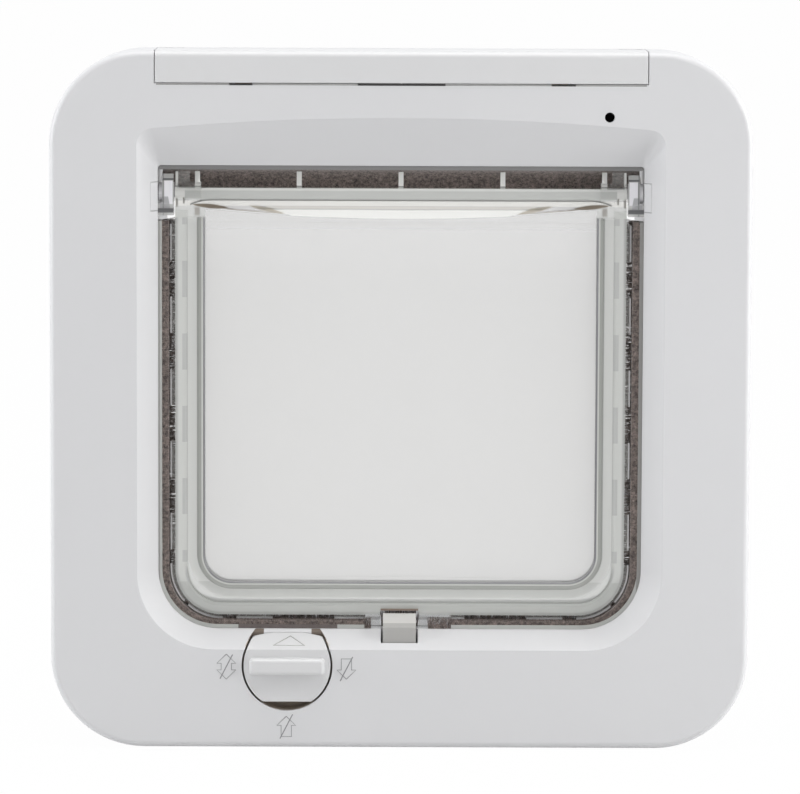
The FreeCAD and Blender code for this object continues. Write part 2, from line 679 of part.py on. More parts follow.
def outdoor_frame():
    """White frame on the outdoor side, hollow towards the door, with a collar for the tunnel."""
    half = HALF_WIDTH - OUTER_SET_IN
    half_height = HALF_HEIGHT - OUTER_SET_IN
    y0 = DOOR_THICKNESS
    y1 = OUTER_FACE_Y

    def at(grow):
        return frame_outline(grow, half, half_height, OUTER_CORNER_R)

    body = prism(at(0), y0, y1)
    front_edges = [e for e in body.Edges if abs(e.CenterOfMass.y - y1) < 1e-6]
    body = body.makeFillet(OUTER_BEVEL, front_edges)
    cavity = prism(at(-OUTER_WALL), y0 - OVERCUT, y1 - OUTER_WALL)
    kept = [prism(opening_outline(TUNNEL_WALL + FIT_GAP + COLLAR_WALL), y0 - OVERCUT, y1)]
    for x, z in fixing_places():
        kept.append(rod_y(FRAME_BOSS_R, y0 - OVERCUT, y1, x, z))
    cavity = cavity.cut(kept)
    body = body.cut(cavity)
    cuts = [
        prism(opening_outline(TUNNEL_WALL + FIT_GAP), y0 - OVERCUT, TUNNEL_END + TUNNEL_LIP_GAP),
        prism(opening_outline(), y0 - OVERCUT, y1 + OVERCUT),
    ]
    for x, z in fixing_places():
        cuts.append(rod_y(FIXING_R + FIT_GAP, y0 - OVERCUT, y1 + OVERCUT, x, z))
        cuts.append(rod_y(FIXING_HEAD_R + FIT_GAP, FIXING_SEAT, y1 + OVERCUT, x, z))
    return body.cut(cuts)


def drive_cuts(size, top, x, z, crossed=True):
    """The driver's slot in a screw head whose top lies at one place along Y, crossed or single."""
    length, width, depth = size
    arms = [(length / 2, width / 2), (width / 2, length / 2)]
    return [
        block(x - a, x + a, top - depth, top + OVERCUT, z - b, z + b)
        for a, b in (arms if crossed else arms[:1])
    ]


def fixing_screw(x, z):
    """One long pan-head screw from the outdoor frame into the housing."""
    top = FIXING_SEAT + FIXING_HEAD_THICK
    shank = rod_y(FIXING_R, -FIXING_GRIP_DEPTH, FIXING_SEAT + ROOT, x, z)
    head = rod_y(FIXING_HEAD_R, FIXING_SEAT, top, x, z)
    rim = [e for e in head.Edges if abs(e.CenterOfMass.y - top) < 1e-6]
    head = head.makeChamfer(FIXING_HEAD_BEVEL, rim)
    return join(shank, head).cut(drive_cuts(FIXING_SLOT, top, x, z))


def screw_cap(x, z):
    """White plug over one fixing screw."""
    low = OUTER_FACE_Y - CAP_THICK
    cap = rod_y(FIXING_HEAD_R + FIT_GAP / 2, low, OUTER_FACE_Y, x, z)
    rim = [e for e in cap.Edges if abs(e.CenterOfMass.y - OUTER_FACE_Y) < 1e-6]
    return cap.makeChamfer(CAP_BEVEL, rim)


def housing_screw(x, z):
    """One small screw that holds the rear cover."""
    head_low = -HOUSING_SCREW_HEAD - SEAT_GAP
    shank = rod_y(HOUSING_SCREW_R, -HOUSING_SCREW_LENGTH, head_low + ROOT, x, z)
    head = rod_y(HOUSING_SCREW_HEAD_R, head_low, -SEAT_GAP, x, z)
    return join(shank, head).cut(drive_cuts(HOUSING_SCREW_SLOT, -SEAT_GAP, x, z))


def flap_tabs():
    """Short tabs round the flap's edge, in one ring cut into lengths."""
    half = TAB_THICK / 2
    ring = prism(flap_outline(TAB_REACH), FLAP_PLANE - half, FLAP_PLANE + half)
    ring = ring.cut(prism(flap_outline(-ROOT), -FAR, FAR))
    keep = []
    reach = HALF_FLAP + TAB_REACH + OVERCUT
    low = FLAP_BOTTOM - TAB_REACH - OVERCUT
    for side in (-1, 1):
        for i in range(SIDE_TAB_COUNT):
            z = SIDE_TAB_TOP - i * SIDE_TAB_PITCH
            x0, x1 = sorted((side * (HALF_FLAP - OVERCUT), side * reach))
            keep.append(block(x0, x1, -FAR, FAR, z - TAB_LENGTH / 2, z + TAB_LENGTH / 2))
        for x in BOTTOM_TABS:
            x0, x1 = side * x - TAB_LENGTH / 2, side * x + TAB_LENGTH / 2
            keep.append(block(x0, x1, -FAR, FAR, low, FLAP_BOTTOM + OVERCUT))
        x0, x1 = sorted((side * (HALF_FLAP - CORNER_TAB_INSET), side * reach))
        corner = block(x0, x1, -FAR, FAR, low, FLAP_BOTTOM + CORNER_TAB_RISE)
        diagonal = (FLAP_LOW_R + TAB_REACH) * math.sqrt(0.5)
        middle = HALF_FLAP - FLAP_LOW_R + diagonal
        nick_z = FLAP_BOTTOM + FLAP_LOW_R - diagonal
        keep.append(corner.cut(rod_y(CORNER_NICK, -FAR, FAR, side * middle, nick_z)))
    return [ring.common(k) for k in keep]


def flap():
    """Clear flap: plate, raised rim, window with its bead, edge tabs, ribs, knuckles and notch."""
    plate = prism(flap_outline(), FLAP_FRONT, FLAP_BACK)
    rim = prism(flap_outline(), FLAP_FRONT - RIM_RAISE, FLAP_FRONT + ROOT)
    rim = rim.cut(prism(flap_outline(-RIM_BAND), -FAR, FAR))
    bead_front = FLAP_FRONT - BEAD_RAISE
    bead = prism(
        outline(BEAD_HALF_WIDTH, BEAD_BOTTOM, BEAD_TOP, BEAD_LOW_R, BEAD_THICK / 2),
        bead_front, FLAP_FRONT + ROOT,
    )
    inner = outline(
        BEAD_HALF_WIDTH - BEAD_THICK, BEAD_BOTTOM + BEAD_THICK, FLAP_TOP,
        BEAD_LOW_R - BEAD_THICK, BEAD_THICK / 2,
    )
    bead = bead.cut(prism(inner, -FAR, FAR))
    crest = [
        e for e in bead.Edges
        if abs(e.BoundBox.YMin - bead_front) < 1e-6 and abs(e.BoundBox.YMax - bead_front) < 1e-6
    ]
    bead = bead.makeFillet(BEAD_THICK * BEAD_ROUND, crest)
    lens_y = FLAP_FRONT - LENS_RAISE
    left = Vector(-LENS_HALF_WIDTH, lens_y, LENS_TOP)
    right = Vector(LENS_HALF_WIDTH, lens_y, LENS_TOP)
    low = Vector(0, lens_y, LENS_TOP - LENS_SAG)
    lens_face = Part.Face(Part.Wire([Part.makeLine(left, right), Part.Arc(right, low, left).toShape()]))
    lens = lens_face.extrude(Vector(0, LENS_RAISE + ROOT, 0))
    pieces = [rim, bead, lens] + flap_tabs()
    first_rib = -RIB_PITCH * (RIB_COUNT - 1) / 2
    for i in range(RIB_COUNT):
        x = first_rib + i * RIB_PITCH
        points = [
            (FLAP_FRONT, FLAP_TOP - ROOT), (FLAP_BACK, FLAP_TOP - ROOT),
            (FLAP_PLANE + RIB_TIP_THICK / 2, FLAP_TOP + RIB_HEIGHT),
            (FLAP_PLANE - RIB_TIP_THICK / 2, FLAP_TOP + RIB_HEIGHT),
        ]
        pieces.append(profile_x(points, x - RIB_THICK / 2, x + RIB_THICK / 2))
    for side in (-1, 1):
        x0, x1 = sorted((side * (HALF_FLAP - KNUCKLE_LENGTH), side * HALF_FLAP))
        pieces.append(rod_x(KNUCKLE_R, x0, x1, FLAP_PLANE, PIVOT_HEIGHT))
        x0, x1 = sorted((side * (HALF_FLAP - KNUCKLE_WEB), side * HALF_FLAP))
        pieces.append(
            block(x0, x1, FLAP_FRONT, FLAP_BACK, PIVOT_HEIGHT, FLAP_TOP + RIB_HEIGHT)
        )
        x0, x1 = sorted((side * NOTCH_WIDTH / 2, side * (NOTCH_WIDTH / 2 + KEEPER_WIDTH)))
        pieces.append(
            block(x0, x1, FLAP_FRONT, FLAP_BACK, FLAP_BOTTOM - KEEPER_DROP, NOTCH_TOP)
        )
    body = join(plate, *pieces)
    window = outline(
        BEAD_HALF_WIDTH - BEAD_THICK, BEAD_BOTTOM + BEAD_THICK, LENS_TOP - LENS_SAG - BEAD_THICK / 2,
        BEAD_LOW_R - BEAD_THICK, BEAD_THICK / 2,
    )
    arch_low = BEAD_BOTTOM + BEAD_THICK
    reach = BEAD_HALF_WIDTH - BEAD_THICK - BEAD_LOW_R
    ends = Vector(-reach, -FAR, arch_low), Vector(reach, -FAR, arch_low)
    top = Vector(0, -FAR, arch_low + WINDOW_ARCH)
    arch_face = Part.Face(Part.Wire([Part.makeLine(*ends), Part.Arc(ends[1], top, ends[0]).toShape()]))
    arch = arch_face.extrude(Vector(0, 2 * FAR, 0))
    sink = prism(window, bead_front - OVERCUT, FLAP_FRONT + WINDOW_SINK).cut(arch)
    cuts = [sink]
    cuts.append(
        block(-NOTCH_WIDTH / 2, NOTCH_WIDTH / 2, -FAR, FAR, OPENING_BOTTOM, NOTCH_TOP)
    )
    bore_end = HALF_FLAP - PIN_DEPTH_IN_FLAP - SIDE_GAP
    for side in (-1, 1):
        x0, x1 = sorted((side * bore_end, side * (HALF_FLAP + OVERCUT)))
        cuts.append(rod_x(PIN_R + RUNNING_GAP, x0, x1, FLAP_PLANE, PIVOT_HEIGHT))
    return body.cut(cuts)


def hinge_pin():
    """Stepped pivot pin at the right end of the flap."""
    collar_in = HALF_FLAP + SIDE_GAP
    nose = rod_x(PIN_R, HALF_FLAP - PIN_DEPTH_IN_FLAP, collar_in + ROOT, FLAP_PLANE, PIVOT_HEIGHT)
    collar = rod_x(PIN_COLLAR_R, collar_in, HALF_OPENING - FIT_GAP, FLAP_PLANE, PIVOT_HEIGHT)
    tail_end = HALF_OPENING + PIN_TAIL_LENGTH
    tail_start = HALF_OPENING - FIT_GAP - ROOT
    tail = rod_x(PIN_TAIL_R, tail_start, tail_end, FLAP_PLANE, PIVOT_HEIGHT)
    return join(nose, collar, tail)


def hinge_block():
    """Keeper in the right side wall that holds one pivot pin, flush with the slope."""
    body = block(
        HALF_OPENING, HALF_OPENING + HINGE_BLOCK_REACH, HINGE_BLOCK_FRONT, HINGE_BLOCK_BACK,
        HINGE_BLOCK_LOW, HINGE_BLOCK_HIGH,
    )
    hole_end = HALF_OPENING + PIN_TAIL_LENGTH + FIT_GAP
    hole_start = HALF_OPENING - OVERCUT
    hole = rod_x(PIN_TAIL_R + RUNNING_GAP, hole_start, hole_end, FLAP_PLANE, PIVOT_HEIGHT)
    return body.cut([recess_space(), hole])


def top_brush_backing():
    """Holder of the top brush, under the top of the opening."""
    half = HALF_OPENING - SIDE_GAP
    low = OPENING_TOP - FIT_GAP / 2 - BACKING_THICK
    return prism(
        outline(half, low, low + BACKING_THICK, BACKING_ROUND, BACKING_ROUND),
        BRUSH_FRONT, TOP_BRUSH_BACK,
    )


def top_brush_pile():
    """Pile above and behind the flap's top edge, trimmed to clear its swing."""
    high = OPENING_TOP - FIT_GAP / 2 - BACKING_THICK
    half = HALF_OPENING - SIDE_GAP - TOP_PILE_SET_SIDE
    pile = block(
        -half, half, FLAP_PLANE, TOP_BRUSH_BACK - TOP_PILE_SET_IN, PIVOT_HEIGHT + TOP_PILE_RISE, high
    )
    swing = math.hypot(FLAP_TOP + RIB_HEIGHT - PIVOT_HEIGHT, FLAP_THICK / 2) + SIDE_GAP
    return pile.cut(rod_x(swing, -FRAME_WIDTH, FRAME_WIDTH, FLAP_PLANE, PIVOT_HEIGHT))


def side_brush_region(side):
    """Where the lower brush runs on one side: down the wall and along the floor to the catch."""
    edge = STOP_SLOT_LEFT - BRUSH_OFF_SLOT if side < 0 else STOP_SLOT_RIGHT + BRUSH_OFF_SLOT
    x0, x1 = sorted((edge, side * FRAME_WIDTH))
    return block(x0, x1, -FAR, FAR, -FRAME_HEIGHT, SIDE_BRUSH_TOP)


def side_brush_backing(side):
    """Holder of the lower brush on one side."""
    ring = prism(opening_outline(-BACKING_GLUE), BRUSH_FRONT, BRUSH_BACK)
    ring = ring.cut(prism(opening_outline(-BACKING_THICK), -FAR, FAR))
    return ring.common(side_brush_region(side))


def side_brush_pile(side):
    """Pile of the lower brush on one side, trimmed to the flap's edge and swing."""
    ring = prism(
        opening_outline(-BACKING_THICK), BRUSH_FRONT + SIDE_PILE_SET_IN, BRUSH_BACK - SIDE_PILE_SET_IN
    )
    inner = flap_outline(TAB_REACH + SLACK)
    ring = ring.cut(prism(inner, -FAR, FAR))
    return ring.common(side_brush_region(side))


def catch():
    """White catch: a block with a sloped top that rises in front of the flap's lower edge."""
    half = CATCH_WIDTH / 2
    points = [
        (CATCH_FRONT, CATCH_BASE_LOW),
        (CATCH_BASE_BACK, CATCH_BASE_LOW),
        (CATCH_BASE_BACK, CATCH_SHOULDER),
        (CATCH_BACK, CATCH_SHOULDER),
        (CATCH_BACK, CATCH_TOP),
        (CATCH_BACK - CATCH_RIDGE, CATCH_TOP),
        (CATCH_FRONT, CATCH_TOP - CATCH_RAMP_HEIGHT),
    ]
    return profile_x(points, -half, half)


def plunger():
    """Steel plunger under the catch."""
    return rod_z(PLUNGER_R, CATCH_BASE_LOW - PLUNGER_LENGTH, CATCH_BASE_LOW, 0, SOLENOID_AXIS_Y)


def solenoid_levels():
    """Bottom and top of the solenoid's bracket."""
    low = -WALL_INSIDE + SEAT_GAP
    return low, low + SOLENOID_HEIGHT


def solenoid_bracket():
    """Steel bracket round the solenoid's coil, with a hole for the plunger."""
    low, high = solenoid_levels()
    half = SOLENOID_WIDTH / 2
    y0, y1 = SOLENOID_AXIS_Y - COIL_CAN_R, SOLENOID_AXIS_Y + COIL_CAN_R
    outer = block(-half, half, y0, y1, low, high)
    inner = block(
        -half + SOLENOID_PLATE, half - SOLENOID_PLATE, y0 - OVERCUT, y1 + OVERCUT,
        low + SOLENOID_PLATE, high - SOLENOID_PLATE,
    )
    hole = rod_z(
        PLUNGER_R + SEAT_GAP, high - SOLENOID_PLATE - OVERCUT, high + OVERCUT, 0, SOLENOID_AXIS_Y
    )
    return outer.cut([inner, hole])


def solenoid_coil():
    """Wound coil inside the bracket."""
    low, high = solenoid_levels()
    gap = SOLENOID_PLATE
    can_r = COIL_CAN_R - SEAT_GAP
    body = rod_z(can_r, low + gap, high - gap, 0, SOLENOID_AXIS_Y)
    bore = rod_z(PLUNGER_R + SEAT_GAP, low - OVERCUT, high + OVERCUT, 0, SOLENOID_AXIS_Y)
    waist_low, waist_high = low + gap + COIL_FLANGE, high - gap - COIL_FLANGE
    waist = rod_z(can_r + OVERCUT, waist_low, waist_high, 0, SOLENOID_AXIS_Y)
    waist = waist.cut(rod_z(can_r - COIL_WAIST, low, high, 0, SOLENOID_AXIS_Y))
    return body.cut([bore, waist])


def catch_spring():
    """Return spring round the plunger, between the bracket and the catch."""
    low = solenoid_levels()[1] + SPRING_WIRE_R
    length = CATCH_BASE_LOW - SPRING_WIRE_R - low
    helix = Part.makeHelix(length / SPRING_TURNS, length, SPRING_R)
    corners = []
    for i in range(SPRING_WIRE_SIDES):
        a = 2 * math.pi * i / SPRING_WIRE_SIDES
        corners.append(
            Vector(SPRING_R + SPRING_WIRE_R * math.cos(a), 0, SPRING_WIRE_R * math.sin(a))
        )
    section = Part.makePolygon(corners + corners[:1])
    coil = Part.Wire(helix).makePipeShell([section], True, True)
    coil.translate(Vector(0, SOLENOID_AXIS_Y, low))
    return coil


def lock_dial():
    """Dial with a flat lower edge, a grip bar and a shaft; its face follows the fascia."""
    back = FACE_Y + DIAL_WELL_DEPTH - FIT_GAP
    disc = rod_y(DIAL_R, FACE_Y, back, DIAL_X, DIAL_Z)
    far = 2 * DIAL_R
    low_cut = block(DIAL_X - far, DIAL_X + far, -FAR, 0, DIAL_Z - far, DIAL_Z - DIAL_CHORD)
    chord = math.sqrt(DIAL_R**2 - (DIAL_TOP - DIAL_TOP_SAG) ** 2)
    ends = [Vector(DIAL_X + s * chord, -FAR, DIAL_Z + DIAL_TOP - DIAL_TOP_SAG) for s in (-1, 1)]
    crown = Vector(DIAL_X, -FAR, DIAL_Z + DIAL_TOP)
    outer = [Vector(DIAL_X + s * far, -FAR, DIAL_Z + far) for s in (1, -1)]
    sides = [Vector(DIAL_X + s * far, -FAR, ends[0].z) for s in (1, -1)]
    wire = Part.Wire(
        [
            Part.Arc(ends[0], crown, ends[1]).toShape(),
            Part.makeLine(ends[1], sides[0]),
            Part.makeLine(sides[0], outer[0]),
            Part.makeLine(outer[0], outer[1]),
            Part.makeLine(outer[1], sides[1]),
            Part.makeLine(sides[1], ends[0]),
        ]
    )
    top_cut = Part.Face(wire).extrude(Vector(0, 2 * FAR, 0))
    disc = disc.cut([low_cut, top_cut, recess_space()])
    grip = block(
        DIAL_X - GRIP_LENGTH / 2, DIAL_X + GRIP_LENGTH / 2, FACE_Y - GRIP_REACH, FACE_Y + ROOT,
        DIAL_Z - GRIP_HEIGHT / 2, DIAL_Z + GRIP_HEIGHT / 2,
    )
    proud = [e for e in grip.Edges if e.BoundBox.YMin < FACE_Y - GRIP_REACH + RUNNING_GAP]
    grip = grip.makeFillet(GRIP_ROUND, proud)
    shaft_end = back + FIT_GAP + DIAL_FLOOR + FIT_GAP
    shaft = rod_y(DIAL_SHAFT_R, back - ROOT, shaft_end, DIAL_X, DIAL_Z)
    spindle = rod_y(SPINDLE_R, back, SLIDE_BACK + SLACK, DIAL_X, DIAL_Z)
    hole = rod_y(SPINDLE_BORE_R, SLIDE_BACK - SPINDLE_BORE_DEPTH, 0, DIAL_X, DIAL_Z)
    return join(disc, grip, shaft, spindle).cut(hole)


def tooth_points(middle, root_width, tip_width):
    """Half widths of a tooth at its root and tip, as (offset, is_tip) pairs."""
    return [
        (middle - root_width / 2, False), (middle - tip_width / 2, True),
        (middle + tip_width / 2, True), (middle + root_width / 2, False),
    ]


def dial_pinion():
    """Small gear on the dial's spindle, with a hub that spaces it from the well's floor."""
    root_r = PITCH_R - TOOTH_DEDENDUM
    tip_r = PITCH_R + TOOTH_ADDENDUM
    points = []
    for i in range(PINION_TEETH):
        middle = math.radians(90) + (i + 0.5) * 2 * math.pi / PINION_TEETH
        for offset, is_tip in tooth_points(0, TOOTH_ROOT_WIDTH, TOOTH_TIP_WIDTH):
            r = tip_r if is_tip else root_r
            a = middle + offset / r
            points.append(Vector(DIAL_X + r * math.cos(a), SLIDE_FRONT, DIAL_Z + r * math.sin(a)))
    gear = Part.Face(Part.makePolygon(points + points[:1])).extrude(
        Vector(0, SLIDE_BACK - SLIDE_FRONT, 0)
    )
    hub_front = FACE_Y + DIAL_WELL_DEPTH + DIAL_FLOOR + FIT_GAP
    hub = rod_y(PINION_HUB_R, hub_front, SLIDE_FRONT + SEAT_GAP, DIAL_X, DIAL_Z)
    bore = rod_y(SPINDLE_R + RUNNING_GAP, -FAR, 0, DIAL_X, DIAL_Z)
    return join(gear, hub).cut(bore)


def pinion_screw():
    """Screw and washer head that hold the pinion on the spindle."""
    seat = SLIDE_BACK + SLACK
    top = seat + PINION_SCREW_HEAD
    head = rod_y(PINION_SCREW_HEAD_R, seat, top, DIAL_X, DIAL_Z)
    shank_r = SPINDLE_BORE_R - RUNNING_GAP
    shank = rod_y(shank_r, seat - PINION_SCREW_LENGTH, seat + ROOT, DIAL_X, DIAL_Z)
    return join(head, shank).cut(drive_cuts(PINION_SCREW_SLOT, top, DIAL_X, DIAL_Z, False))


def lock_slide():
    """Sliding bar under the tunnel's floor: a rack at one end, the stop behind the flap at the other."""
    top = TUNNEL_UNDERSIDE - SLIDE_GAP
    low = top - SLIDE_BAR_THICK
    rack_half = RACK_TOOTH_COUNT * RACK_PITCH / 2
    rack_middle = DIAL_X - QUARTER_TRAVEL / 2
    rack_top = RACK_LINE + TOOTH_DEDENDUM
    points = [Vector(rack_middle - rack_half, SLIDE_FRONT, low + SEAT_GAP)]
    first = -(RACK_TOOTH_COUNT - 1) / 2
    centre_shift = DIAL_X + RACK_PITCH * round((rack_middle - DIAL_X) / RACK_PITCH)
    points.append(Vector(rack_middle - rack_half, SLIDE_FRONT, rack_top))
    for i in range(RACK_TOOTH_COUNT):
        middle = centre_shift + (first + i) * RACK_PITCH
        for x, is_tip in tooth_points(middle, TOOTH_ROOT_WIDTH, TOOTH_TIP_WIDTH):
            z = RACK_LINE - TOOTH_ADDENDUM if is_tip else rack_top
            points.append(Vector(x, SLIDE_FRONT, z))
    points.append(Vector(points[-1].x + RACK_END, SLIDE_FRONT, rack_top))
    points.append(Vector(points[-1].x, SLIDE_FRONT, low + SEAT_GAP))
    rack = Part.Face(Part.makePolygon(points + points[:1])).extrude(
        Vector(0, SLIDE_BACK - SLIDE_FRONT, 0)
    )
    bar_end = STOP_WIDTH / 2 + SLIDE_TAIL
    bar = block(rack_middle - rack_half, bar_end, SLIDE_FRONT, SLIDE_BACK, low, top)
    stop = block(
        -STOP_WIDTH / 2, STOP_WIDTH / 2, STOP_FRONT, STOP_FRONT + STOP_THICK, low, CATCH_TOP
    )
    return join(bar, rack, stop)


def battery_cover():
    """Strip that wraps over the housing's top edge, with two hinge lugs at its rear."""
    form = outer_form().common(cover_room(COVER_GAP, COVER_REAR))
    inside = block(-FRAME_WIDTH, FRAME_WIDTH, FACE_Y + HOUSING_WALL, 0, 0, WALL_INSIDE)
    cover = form.cut(inside)
    lugs = []
    for side in (-1, 1):
        end = COVER_HALF_WIDTH - SIDE_GAP
        x0, x1 = sorted((side * end, side * (end - COVER_LUG_LENGTH + 2 * SIDE_GAP)))
        lugs.append(rod_x(COVER_BARREL_R, x0, x1, COVER_HINGE_Y, COVER_HINGE_Z))
        lugs.append(
            block(
                x0, x1, COVER_REAR - ROOT, COVER_HINGE_Y,
                COVER_HINGE_Z - COVER_BARREL_R, COVER_HINGE_Z + COVER_BARREL_R,
            )
        )
        pin_end = COVER_HALF_WIDTH + COVER_PIN_LENGTH - FIT_GAP
        x0, x1 = sorted((side * (end - ROOT), side * pin_end))
        lugs.append(rod_x(COVER_PIN_R, x0, x1, COVER_HINGE_Y, COVER_HINGE_Z))
    lap = block(
        -FRAME_WIDTH, FRAME_WIDTH, FACE_Y + LAP_SKIN, 0,
        COVER_BOTTOM, COVER_BOTTOM + COVER_GAP + LAP_HEIGHT,
    )
    return join(cover, *lugs).cut(lap)


def cell_row_height(row):
    """Height of the middle of one row of cells."""
    low = OPENING_TOP + TUNNEL_WALL + CELL_SEAT_GAP + CELL_R
    return low + row * CELL_SPACING


def battery_cell(column, row):
    """One round cell, with its positive nub to the left in one row and to the right in the other."""
    z = cell_row_height(row)
    start = CELL_NUB_LENGTH / 4 + (column - 1) * (CELL_LENGTH + CELL_NUB_LENGTH * 1.5)
    end = start + CELL_LENGTH
    can = rod_x(CELL_R, start, end, CELL_Y, z)
    ends = [e for e in can.Edges if len(e.Vertexes) == 1]
    can = can.makeChamfer(CELL_BEVEL, ends)
    nub = rod_x(CELL_NUB_R, end - ROOT, end + CELL_NUB_LENGTH, CELL_Y, z)
    cell = join(can, nub)
    return mirrored(cell) if row else cell


def battery_contacts():
    """Plates and springs at the ends of the cell rows."""
    solids = []
    half = CONTACT_SIZE / 2
    for row in (0, 1):
        z = cell_row_height(row)
        for side in (-1, 1):
            x0, x1 = sorted((side * CONTACT_X, side * (CONTACT_X + CONTACT_THICK)))
            plate = block(x0, x1, CELL_Y - half, CELL_Y + half, z - half, z + half)
            start = side * (CONTACT_X + SEAT_GAP)
            positive = side > 0 if row == 0 else side < 0
            root_r, tip_r = CONTACT_POSITIVE if positive else CONTACT_NEGATIVE
            tip = side * (CELL_ROW_END + FIT_GAP)
            cone = Part.makeCone(
                root_r, tip_r, abs(tip - start), Vector(start, CELL_Y, z), Vector(-side, 0, 0)
            )
            solids.append(join(plate, cone))
    return Part.makeCompound(solids)


def circuit_board():
    """Control board with its chips and the memory button's switch."""
    back = BOARD_Y + BOARD_THICK
    board = block(BOARD_LEFT, BOARD_RIGHT, BOARD_Y, back, BOARD_LOW, BOARD_HIGH)
    board = board.cut(rod_y(HOUSING_BOSS_R + SLACK, -FAR, FAR, HOUSING_SCREW_X, HOUSING_SCREW_Z))
    corner = prism(frame_outline(-HOUSING_WALL - SLACK), -FAR, FAR)
    board = board.common(corner)
    half = SWITCH_SIZE / 2
    switch = block(
        BUTTON_X - half, BUTTON_X + half, BOARD_Y - SWITCH_HEIGHT, BOARD_Y + ROOT,
        BUTTON_Z - half, BUTTON_Z + half,
    )
    chips = []
    for size, place in (
        (CONTROLLER_SIZE, CONTROLLER_OFF), (DRIVER_SIZE, DRIVER_OFF), (COIL_CHIP_SIZE, COIL_CHIP_OFF)
    ):
        x, z = BOARD_RIGHT - place[0], BOARD_LOW + place[1]
        chips.append(block(x - size[0], x, BOARD_Y - size[1], BOARD_Y + ROOT, z, z + size[2]))
    return join(board, switch, *chips)


def memory_button():
    """Round push button on the switch, through the deck beside the cells."""
    base = BOARD_Y - SWITCH_HEIGHT - BUTTON_TRAVEL - SEAT_GAP
    cap = rod_y(BUTTON_R, base - BUTTON_REACH, base, BUTTON_X, BUTTON_Z)
    rim = [e for e in cap.Edges if abs(e.CenterOfMass.y - base + BUTTON_REACH) < 1e-6]
    return cap.makeFillet(BUTTON_ROUND, rim)


def status_lamp():
    """Small lamp behind the hole in the fascia, on two wire legs."""
    r = LAMP_R - RUNNING_GAP
    crown = FACE_Y + LAMP_SET_BACK + r
    back = BOARD_Y - LAMP_STAND_OFF
    body = rod_y(r, crown, back, LAMP_X, LAMP_Z)
    dome = Part.makeSphere(r, Vector(LAMP_X, crown, LAMP_Z))
    base = rod_y(LAMP_FLANGE_R, back - LAMP_SET_BACK, back, LAMP_X, LAMP_Z)
    legs = [
        rod_y(LEG_R, back - LEG_R, BOARD_Y, LAMP_X + s * LEG_SPREAD, LAMP_Z) for s in (-1, 1)
    ]
    return join(body, dome, base, *legs)


def save(name, shape):
    """Write one node's solids."""
    shape.exportStep("parts/" + name + ".step")


def main():
    """Build every node and write its file."""
    os.makedirs("parts", exist_ok=True)
    save("front_housing", front_housing())
    save("rear_cover", rear_cover())
    save("tunnel", tunnel())
    save("aerial_coil", aerial_coil())
    save("outdoor_frame", outdoor_frame())
    save("fixing_screws", Part.makeCompound([fixing_screw(x, z) for x, z in fixing_places()]))
    save("screw_caps", Part.makeCompound([screw_cap(x, z) for x, z in fixing_places()]))
    save(
        "housing_screws",
        Part.makeCompound([housing_screw(x, z) for x, z in housing_screw_places()]),
    )
    save("flap", flap())
    save("hinge_pin_right", hinge_pin())
    save("hinge_pin_left", mirrored(hinge_pin()))
    save("hinge_block_right", hinge_block())
    save("hinge_block_left", mirrored(hinge_block()))
    save("top_brush_backing", top_brush_backing())
    save("top_brush_pile", top_brush_pile())
    for side, name in ((-1, "left"), (1, "right")):
        save(name + "_brush_backing", side_brush_backing(side))
        save(name + "_brush_pile", side_brush_pile(side))
    save("catch", catch())
    save("plunger", plunger())
    save("solenoid_bracket", solenoid_bracket())
    save("solenoid_coil", solenoid_coil())
    save("catch_spring", catch_spring())
    save("lock_dial", lock_dial())
    save("dial_pinion", dial_pinion())
    save("pinion_screw", pinion_screw())
    save("lock_slide", lock_slide())
    save("battery_cover", battery_cover())
    for row in (0, 1):
        for column in (0, 1):
            save("battery_cell_%d" % (2 * row + column + 1), battery_cell(column, row))
    save("battery_contacts", battery_contacts())
    save("circuit_board", circuit_board())
    save("memory_button", memory_button())
    save("status_lamp", status_lamp())


main()
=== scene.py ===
"""Dresses the cat flap: finishes, bristles, printed marks, floor, lamps and camera.

All lengths are in metres, in the frame of the part: +X right, +Y outdoors, +Z up, with the origin in
the middle of the housing on the face that lies against the door.
"""

import json
import logging
import math
from dataclasses import dataclass
from enum import Enum
from typing import Any, Iterable, Mapping, Sequence, Union

import bmesh
import bpy
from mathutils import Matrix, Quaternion, Vector

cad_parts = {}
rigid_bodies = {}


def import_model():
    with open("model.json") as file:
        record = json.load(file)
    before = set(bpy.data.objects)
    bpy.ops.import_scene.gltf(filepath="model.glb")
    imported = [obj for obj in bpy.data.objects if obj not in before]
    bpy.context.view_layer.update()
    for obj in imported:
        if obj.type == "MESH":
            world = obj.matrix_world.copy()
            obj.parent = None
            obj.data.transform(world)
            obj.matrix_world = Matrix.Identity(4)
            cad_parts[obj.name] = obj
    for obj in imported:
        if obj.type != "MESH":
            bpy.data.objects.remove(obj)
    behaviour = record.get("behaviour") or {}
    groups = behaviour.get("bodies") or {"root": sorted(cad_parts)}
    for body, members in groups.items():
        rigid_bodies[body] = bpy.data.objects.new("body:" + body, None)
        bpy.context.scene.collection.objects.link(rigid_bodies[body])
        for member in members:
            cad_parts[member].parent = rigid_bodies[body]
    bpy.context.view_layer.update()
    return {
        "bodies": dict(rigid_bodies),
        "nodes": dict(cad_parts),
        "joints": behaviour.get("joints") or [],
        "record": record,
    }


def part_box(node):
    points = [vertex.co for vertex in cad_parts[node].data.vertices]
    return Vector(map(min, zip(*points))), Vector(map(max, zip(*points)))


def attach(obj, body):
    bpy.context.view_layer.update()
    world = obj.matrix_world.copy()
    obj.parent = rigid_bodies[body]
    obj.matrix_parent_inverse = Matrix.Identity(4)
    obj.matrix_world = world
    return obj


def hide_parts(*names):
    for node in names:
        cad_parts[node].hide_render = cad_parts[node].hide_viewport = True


MM = 0.001
FLAT_ANGLE = 0.3  # degrees; faces that turn by less are one flat face
